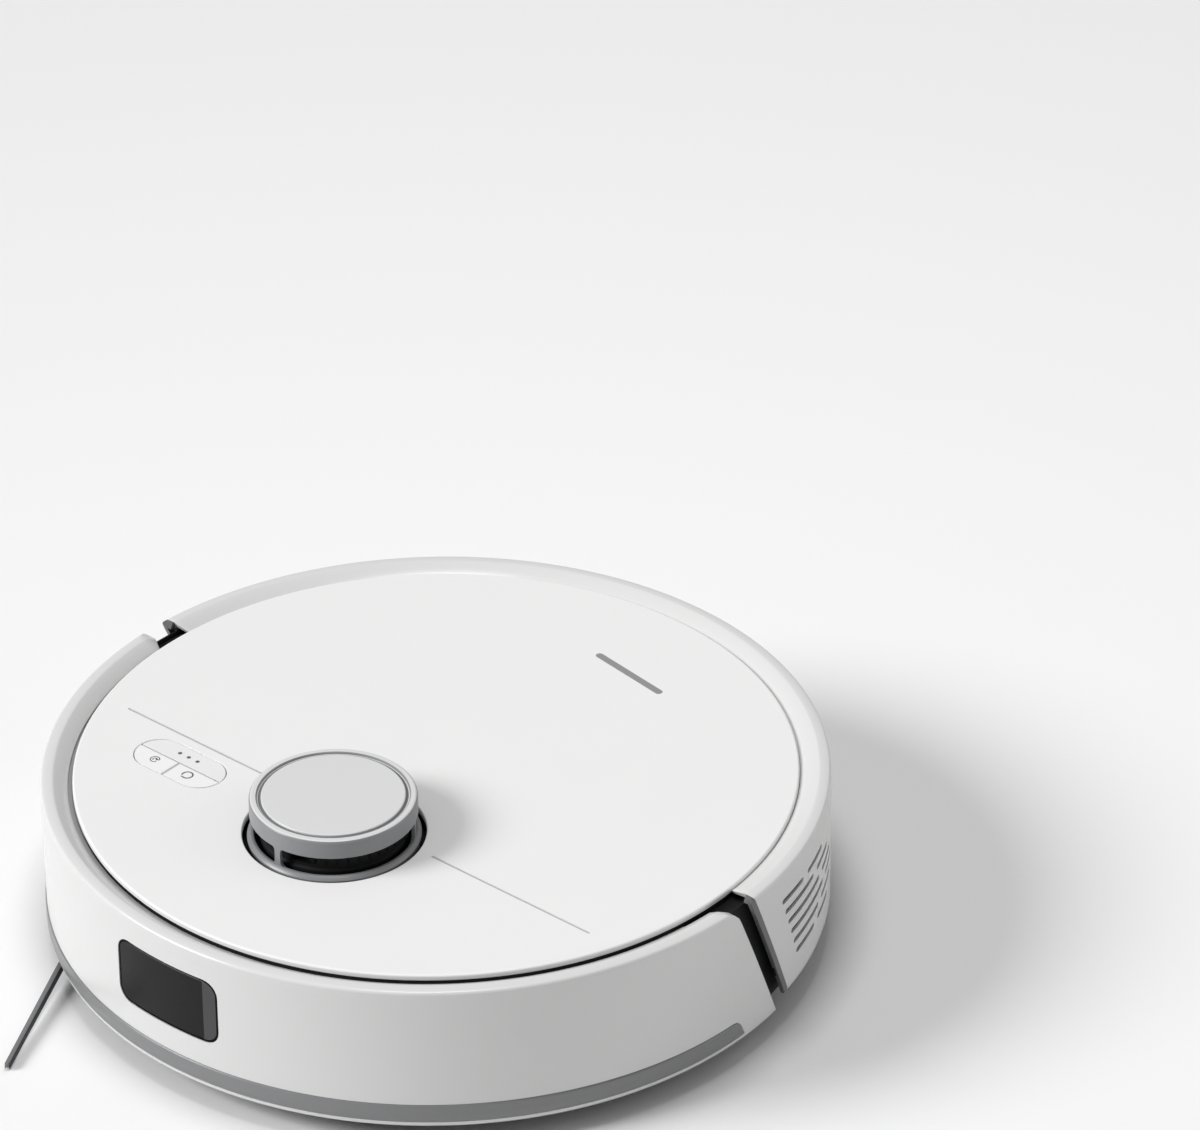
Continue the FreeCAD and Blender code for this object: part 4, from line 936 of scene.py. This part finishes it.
def border(outer, inner, z0, z1, ease=0.25):
    """A raised frame between two outlines of as many points, standing down from z0 to z1."""
    mid_outer = [(x + (p - x) * 0.2, y + (q - y) * 0.2) for (x, y), (p, q) in zip(outer, inner)]
    mid_inner = [(x + (p - x) * 0.8, y + (q - y) * 0.8) for (x, y), (p, q) in zip(outer, inner)]
    down = ease if z1 > z0 else -ease
    rings = [[(x, y, z0) for x, y in outer], [(x, y, z1 - down) for x, y in outer],
             [(x, y, z1) for x, y in mid_outer], [(x, y, z1) for x, y in mid_inner],
             [(x, y, z1 - down) for x, y in inner], [(x, y, z0) for x, y in inner]]
    return loft(rings + [rings[0]], capped=False)


TYRE_HALF = 10.0
TREADS = 24


def tread_block(sign, row, base):
    """One slanted block of the tread, in the inner (-1) or the outer (1) row."""
    rings = []
    for x, skew in ((0.5, 0.0), (3.5, 2.0), (7.6, 4.2), (9.7, 5.0)):
        drop = 0.5 if x > 9 else 0.0
        ring = []
        for r, half_angle, edges in ((31.0, 4.4, (-1, 1)), (WHEEL_R - 0.05 - drop, 3.3, (1, -1))):
            for edge in edges:
                y, z = polar(r, base + skew + edge * half_angle, (0.0, WHEEL_R))
                ring.append((sign * WHEEL_X + row * x, y, z))
        rings.append(ring)
    return loft(rings)


def tyre(side, sign):
    body = "wheel_" + side
    half = TYRE_HALF
    carcass = [(28.6, -half + 0.9), (30.4, -half + 0.1), (31.1, -half + 0.6), (31.5, -half + 3.5),
               (31.5, half - 3.5), (31.1, half - 0.6), (30.4, half - 0.1), (28.6, half - 0.9)]
    band = lathe_x([(r, WHEEL_X * sign + x) for r, x in carcass], 0, WHEEL_R, 144)
    blocks = [tread_block(sign, row, (step + turn) * 360 / TREADS)
              for step in range(TREADS) for row, turn in ((-1, 0.0), (1, 0.5))]
    piece = made("tyre_tread_" + side, *merged(band, *blocks), "tyre", body, "tyre_rubber")
    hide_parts("tyre_" + side)


def arm_spring(sign):
    """The torsion spring on an arm's pin: straight leg, close turns, short hooked end."""
    coil_r, wire, turns, turn_steps = 6.9, 0.72, 7, 24
    x0 = sign * (box_mm("arm_springs")[1].x - 13.2)
    pivot_y, pivot_z = ARM_PIVOT
    path = [(x0, pivot_y - coil_r, pivot_z + rise) for rise in (19.5, 14, 9, 5, 2)]
    steps = turns * turn_steps
    for step in range(steps + 1):
        a = math.pi + 2 * math.pi * step / turn_steps
        x = x0 + sign * 12.0 * step / steps
        path.append((x, pivot_y + coil_r * math.cos(a), pivot_z + coil_r * math.sin(a)))
    path += [(path[-1][0], pivot_y - coil_r, pivot_z - drop) for drop in (2.0, 4.0)]
    return tube(path, wire, (1, 0.02, 0.01), 8)


def castor():
    """The castor's wheel, black below its axle and white above it, as such wheels are for counting turns."""
    wheel_y, wheel_z, radius, half = CASTOR_Y + 7.0, 14.0, 14.0, 8.5
    profile = [(2.5, -half), (10.6, -half), (11.2, -half + 0.7), (12.6, -half + 1.0), (13.6, -half + 2.2),
               (radius, -4.2), (radius, -0.7), (radius - 0.6, -0.4), (radius - 0.6, 0.4), (radius, 0.7),
               (radius, 4.2), (13.6, half - 2.2), (12.6, half - 1.0), (11.2, half - 0.7), (10.6, half),
               (2.5, half)]
    wheel = made("castor_tread", *lathe_x(profile, wheel_y, wheel_z, 96), "castor_black", "castor_roller",
                 "castor_roller")
    wheel.data.materials.append(MATERIALS["castor_white"])
    for face in wheel.data.polygons:
        face.material_index = int(face.center.z > wheel_z * MM)
    axle = [(0.2, -9.2), (1.6, -9.2), (1.9, -8.9), (1.9, 8.9), (1.6, 9.2), (0.2, 9.2)]
    made("castor_axle", *lathe_x(axle, wheel_y, wheel_z, 32), "steel", "castor_roller", "steel")
    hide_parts("castor_wheel")


def fin_line(start, root, tip, thick):
    """One rubber blade of the roller: it runs in a shallow V along the axis."""
    steps = 30
    section = ((root, -thick), (tip - 1.2, -thick * 0.6), (tip, -thick * 0.25), (tip, thick * 0.25),
               (tip - 1.2, thick * 0.6), (root, thick))
    rings = []
    for step in range(steps + 1):
        x = -BRUSH_HALF + 2 * BRUSH_HALF * step / steps
        a = math.radians(start + BRUSH_LEAN * abs(x) / BRUSH_HALF)
        c, s = math.cos(a), math.sin(a)
        rings.append([(x, BRUSH_Y + r * c - half * s, BRUSH_Z + r * s + half * c) for r, half in section])
    return loft(rings)


def roller_tufts(tip):
    """Three rows of bristle tufts between the blades, five bristles to a tuft."""
    root, half, steps = 9.8, 74, 60
    tufts = []
    for start in (60, 180, 300):
        for step in range(steps + 1):
            x = -half + 2 * half * step / steps
            base = start + BRUSH_LEAN * abs(x) / BRUSH_HALF
            for _ in range(5):
                lean = random.uniform(-3.5, 3.5)
                off = random.uniform(-2.2, 2.2)
                end = tip - random.uniform(0.0, 0.9)
                dx = random.uniform(-0.9, 0.9)
                path = [(x, *polar(root, base + off, (BRUSH_Y, BRUSH_Z))),
                        (x + dx, *polar(end, base + off + lean, (BRUSH_Y, BRUSH_Z)))]
                tufts.append(tube(path, 0.26, (1, 0, 0), 4, 0.5))
    return tufts


def roller():
    low, high = box_mm("brush_bristles")
    tip = (high.z - low.z) / 2 - 0.1
    blades = [fin_line(start, 8.5, tip, 1.1) for start in (0, 120, 240)]
    sleeve = lathe_x([(8.8, -75.2), (10.4, -75.0), (10.4, 75.0), (8.8, 75.2)], BRUSH_Y, BRUSH_Z, 64)
    fins = made("brush_blades", *merged(sleeve, *blades), "fin", "roller_brush", "bristle_black")
    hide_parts("brush_bristles")
    made("brush_tufts", *merged(*roller_tufts(tip)), "bristle", "roller_brush", "bristle_black", 80)


ARM_REACH = 97.0
ARM_OFFSET = 11.0           # the two rows of whiskers pass this far beside the hub's middle
ARM_ANGLE = -64.5


def whisker(row, side, end):
    """One strand, drooping from the ferrule towards the floor. row: 0 is the lowest, 8 the highest."""
    path = []
    for t in (0.0, 0.22, 0.5, 0.8, 1.0):
        along = 8.0 + (end - 8.0) * t
        top = 7.3 if along < 26 else 7.3 - 4.0 * (along - 26) / (ARM_REACH - 26)
        low = 5.4 - 4.3 * (along - 6) / (ARM_REACH - 6)
        path.append((along, side, low + (top - low) * row / 8))
    return tube(path, 0.30, (0, 0, 1), 5, 0.8)


def side_brush():
    x, y = SIDE_BRUSH
    hub = [(0.3, 7.0), (2.6, 7.0), (3.2, 5.5), (7.0, 5.45), (11.2, 5.5), (12.4, 6.2), (13.0, 7.2),
           (12.6, 8.6), (11.8, 9.4), (7.0, 10.3), (2.5, 10.4), (2.5, 19.5), (0.3, 19.5)]
    cap = made("side_brush_cap", *lathe(hub, SIDE_BRUSH, 96), "hub", "side_brush", "hub_grey")
    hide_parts("side_brush_hub")
    screw = stacked([(2.4, 7.4), (2.4, 6.6), (2.1, 6.3)], SIDE_BRUSH, 32)
    head = made("side_brush_screw", *screw, "steel", "side_brush", "steel")
    for half_x, half_y in ((1.6, 0.3), (0.3, 1.6)):
        carve(head, [bar(x - half_x, x + half_x, y - half_y, y + half_y, 5.6, 6.8)])
    strands, shade_side_strands, sleeves = [], [], []
    for angle in (ARM_ANGLE, ARM_ANGLE + 180):
        for row in range(9):
            for col in range(5):
                side = -ARM_OFFSET - 1.0 + 0.5 * col + random.uniform(-0.08, 0.08)
                end = ARM_REACH - random.uniform(0.0, 1.6)
                strand = moved(whisker(row, side, end), x, y, angle)
                # painted shade: the last row of strands is black, standing in for the shade along one side of
                # the bundle
                (shade_side_strands if col == 4 else strands).append(strand)
        ferrule = bar(5.5, 18.0, -ARM_OFFSET - 1.7, -ARM_OFFSET + 1.7, 4.9, 8.0)
        sleeves.append(moved(ferrule, x, y, angle))
    whiskers = made("side_brush_whiskers", *merged(*strands), "whisker", "side_brush", "whisker_grey", 80)
    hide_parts("side_brush_bristles")
    made("side_brush_shade_row", *merged(*shade_side_strands), "bristle", "side_brush", "whisker_grey", 80)
    ease_edges(made("side_brush_ferrules", *merged(*sleeves), "hub", "side_brush", "hub_grey"), 0.5)


def base_frames():
    """Frames round the base's openings, ribs over the battery hatch and a fan of ribs at the back."""
    low = PLATE_LOW
    root, rib, rim = low + 0.4, low - 0.5, low - 0.8
    frames = []
    for centre, outer_r, inner_r, steps, z in (
        ((0.0, 0.0), 163.0, 161.4, 192, rib),
        ((0.0, CASTOR_Y), 29.0, 26.6, 96, rim),
        (SIDE_BRUSH, 17.2, 15.6, 72, low - 0.3),
    ):
        frames.append(border(circle(outer_r, *centre, steps), circle(inner_r, *centre, steps), root, z))
    for side in (-1, 1):
        x0, x1 = sorted((side * 48.2, side * 127.8))
        outer = box_outline(x0 - 1.0, x1 + 1.0, -68.8, 41.6, 4.0)
        frames.append(border(outer, box_outline(x0 + 0.6, x1 - 0.6, -67.2, 40.0, 2.4), root, rim))
        x, y = side * CONTACT[0], CONTACT[1]
        frames.append(border(capsule_outline(x, y, 26.4, 13.4), capsule_outline(x, y, 23.4, 10.4), root, rib))
    frames += [bar(x - 0.6, x + 0.6, -12, 34, rib, root) for x in (-40, -24, -8, 8, 24, 40)]
    frames += [bar(-44, 44, y - 0.6, y + 0.6, rib, root) for y in (-11.5, 33.5)]
    frames += [turned_by(bar(118, 156, -0.6, 0.6, rib, root), 62 + step * 7) for step in range(9)]
    return frames


def underside():
    """Ribs and frames moulded on the base, the battery hatch, the contacts and the brush guard's ribs."""
    low = PLATE_LOW
    made("base_ribs", *merged(*base_frames()), "base", "chassis", "black_plastic")

    hatch_low, hatch_high = box_mm("battery_cover")
    outline = box_outline(hatch_low.x, hatch_high.x, hatch_low.y, hatch_high.y, 3.0)
    hatch = made("battery_hatch", *prism(outline, PLATE_TOP, low - 0.5, -0.6), "base", "chassis",
                 "black_plastic")
    grips = []
    for k in range(5):
        y = hatch_low.y + 6 + 3.2 * k
        grips.append(bar(-14, 14, y, y + 1.4, low - 2, low + 0.3))
    outer = box_outline(-38, 38, -70, -26, 4.0)
    panel = border(outer, box_outline(-36.6, 36.6, -68.6, -27.4, 2.6), low - 1.5, low - 0.05, -0.3)
    carve(hatch, grips + [panel])
    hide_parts("battery_cover")

    plates = [prism(capsule_outline(s * CONTACT[0], CONTACT[1], 21.6, 8.6), PLATE_TOP, low + 0.15, -0.5)
              for s in (-1, 1)]
    contacts = made("contact_plates", *merged(*plates), "contact", "chassis", "contact_metal")
    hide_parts("charge_contacts")

    guard_low, guard_high = box_mm("brush_guard")
    root = guard_low.z + 0.3
    lugs = []
    for side in (-1, 1):
        for k in range(4):
            x = side * 60 - 6 + 3.4 * k
            lugs.append(bar(x, x + 1.2, guard_low.y + 0.5, guard_low.y + 3.0, guard_low.z - 0.6, root))
    for y in (guard_low.y + 1.0, guard_high.y - 2.2):
        lugs.append(bar(-46, 46, y, y + 1.2, guard_low.z - 0.7, root))
    made("guard_ribs", *merged(*lugs), "guard", "chassis", "guard_grey")


# ---- Materials of the nodes that stay ------------------------------------------------------

KEPT = {
    "steel": ("arm_pins", "base_screws"),
    "base": ("base_plate", "gear_case_left", "gear_case_right"),
    "cells": ("battery_pack",),
    "black": ("bin_bay", "brush_housing", "fan_housing", "lidar_base", "upper_chassis", "wheel_wells",
              "bumper_switches", "front_sensor", "brush_motor", "side_brush_motor"),
    "bin": ("bin_body", "bin_lid"),
    "filter": ("bin_filter",),
    "hub": ("brush_core", "castor_fork", "wheel_hub_left", "wheel_hub_right"),
    "guard": ("brush_guard",),
    "board": ("circuit_boards",),
    "window": ("cliff_windows",),
    "gear": ("drive_gear_left", "drive_gear_right", "fan_impeller", "lidar_motor_pulley", "motor_pinion_left",
             "motor_pinion_right"),
    "can": ("fan_motor", "lidar_motor", "wheel_motor_left", "wheel_motor_right"),
    "belt": ("lidar_belt",),
}


def paint_kept_nodes():
    for material, names in KEPT.items():
        for name in names:
            for place in nodes[name].material_slots:
                place.material = MATERIALS[material]


def running_gear():
    for side, sign in (("left", 1), ("right", -1)):
        tyre(side, sign)
    springs = made("arm_coils", *merged(arm_spring(1), arm_spring(-1)), "spring", "chassis",
                   "spring_steel", 60)
    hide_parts("arm_springs")
    castor()
    roller()
    side_brush()


# ---- Stage ---------------------------------------------------------------------------------

def direction(azimuth, elevation):
    """The unit vector towards a bearing, in radians: azimuth 0 lies in front of the robot, and it grows
    towards the robot's left."""
    flat = math.cos(elevation)
    return Vector((math.sin(azimuth) * flat, -math.cos(azimuth) * flat, math.sin(elevation)))


def camera():
    azimuth, elevation, roll = math.radians(40.831), math.radians(31.88), math.radians(-0.41)
    distance = 3036.4
    aim_right, aim_up = 72.46, 88.67      # the body's top centre lies this far left of and below the middle
    back = direction(azimuth, elevation)
    right = Vector((math.cos(azimuth), math.sin(azimuth), 0.0))
    up = back.cross(right)
    turned_right = right * math.cos(roll) + up * math.sin(roll)
    turned_up = up * math.cos(roll) - right * math.sin(roll)
    place = turned_right * aim_right + turned_up * aim_up + back * distance + Vector((0, 0, COVER_TOP))
    data = bpy.data.cameras.new("camera")
    data.sensor_width = 36.0
    data.lens = 205.74
    data.clip_end = 50.0
    obj = placed("camera", data)
    turn = Matrix((turned_right, turned_up, back)).transposed()
    obj.matrix_world = Matrix.Translation(place * MM) @ turn.to_4x4()
    bpy.context.scene.camera = obj


def aimed(name, data, azimuth, elevation):
    """A lamp that shines from a bearing, in degrees. Returns the lamp and the way towards it."""
    obj = placed(name, data)
    back = direction(math.radians(azimuth), math.radians(elevation))
    obj.rotation_mode = "QUATERNION"
    obj.rotation_quaternion = (-back).to_track_quat("-Z", "Y")
    return obj, back


def softbox(name, azimuth, elevation, distance, size, power):
    """A square lamp, its distance and size in metres, aimed at the middle of the body."""
    data = bpy.data.lights.new(name, "AREA")
    data.shape = "RECTANGLE"
    data.size = size
    data.size_y = size
    data.energy = power
    obj, back = aimed(name, data, azimuth, elevation)
    obj.location = Vector((0, 0, 0.04)) + back * distance


def sun(name, azimuth, elevation, strength, spread):
    """A broad distant lamp."""
    data = bpy.data.lights.new(name, "SUN")
    data.energy = strength
    data.angle = math.radians(spread)
    aimed(name, data, azimuth, elevation)


def stage():
    half = 6000.0
    corners = [(-half, -half, 0), (half, -half, 0), (half, half, 0), (-half, half, 0)]
    mesh = mesh_of("floor", corners, [[0, 1, 2, 3]])
    floor = placed("floor", mesh)
    material = bpy.data.materials.new("floor_pale")
    material.use_nodes = True
    shader = material.node_tree.nodes["Principled BSDF"]
    shader.inputs["Base Color"].default_value = (0.86, 0.86, 0.86, 1)
    shader.inputs["Roughness"].default_value = 0.9
    shader.inputs["Specular IOR Level"].default_value = 0.1
    mesh.materials.append(material)
    world = bpy.data.worlds.new("studio")
    world.use_nodes = True
    background = world.node_tree.nodes["Background"]
    background.inputs["Color"].default_value = (1, 1, 1, 1)
    background.inputs["Strength"].default_value = 0.28
    bpy.context.scene.world = world
    bpy.context.scene.view_settings.view_transform = "Standard"
    sun("key", -40, 32, 2.7, 26)
    sun("fill", 130, 20, 0.4, 40)
    softbox("overhead", 20, 86, 1.7, 0.55, 10)


def main():
    camera()
    stage()
    bumper()
    rear()
    bin_face()
    top_disc()
    key_panel()
    key_icons()
    turret()
    lidar()
    running_gear()
    underside()
    paint_kept_nodes()


main()
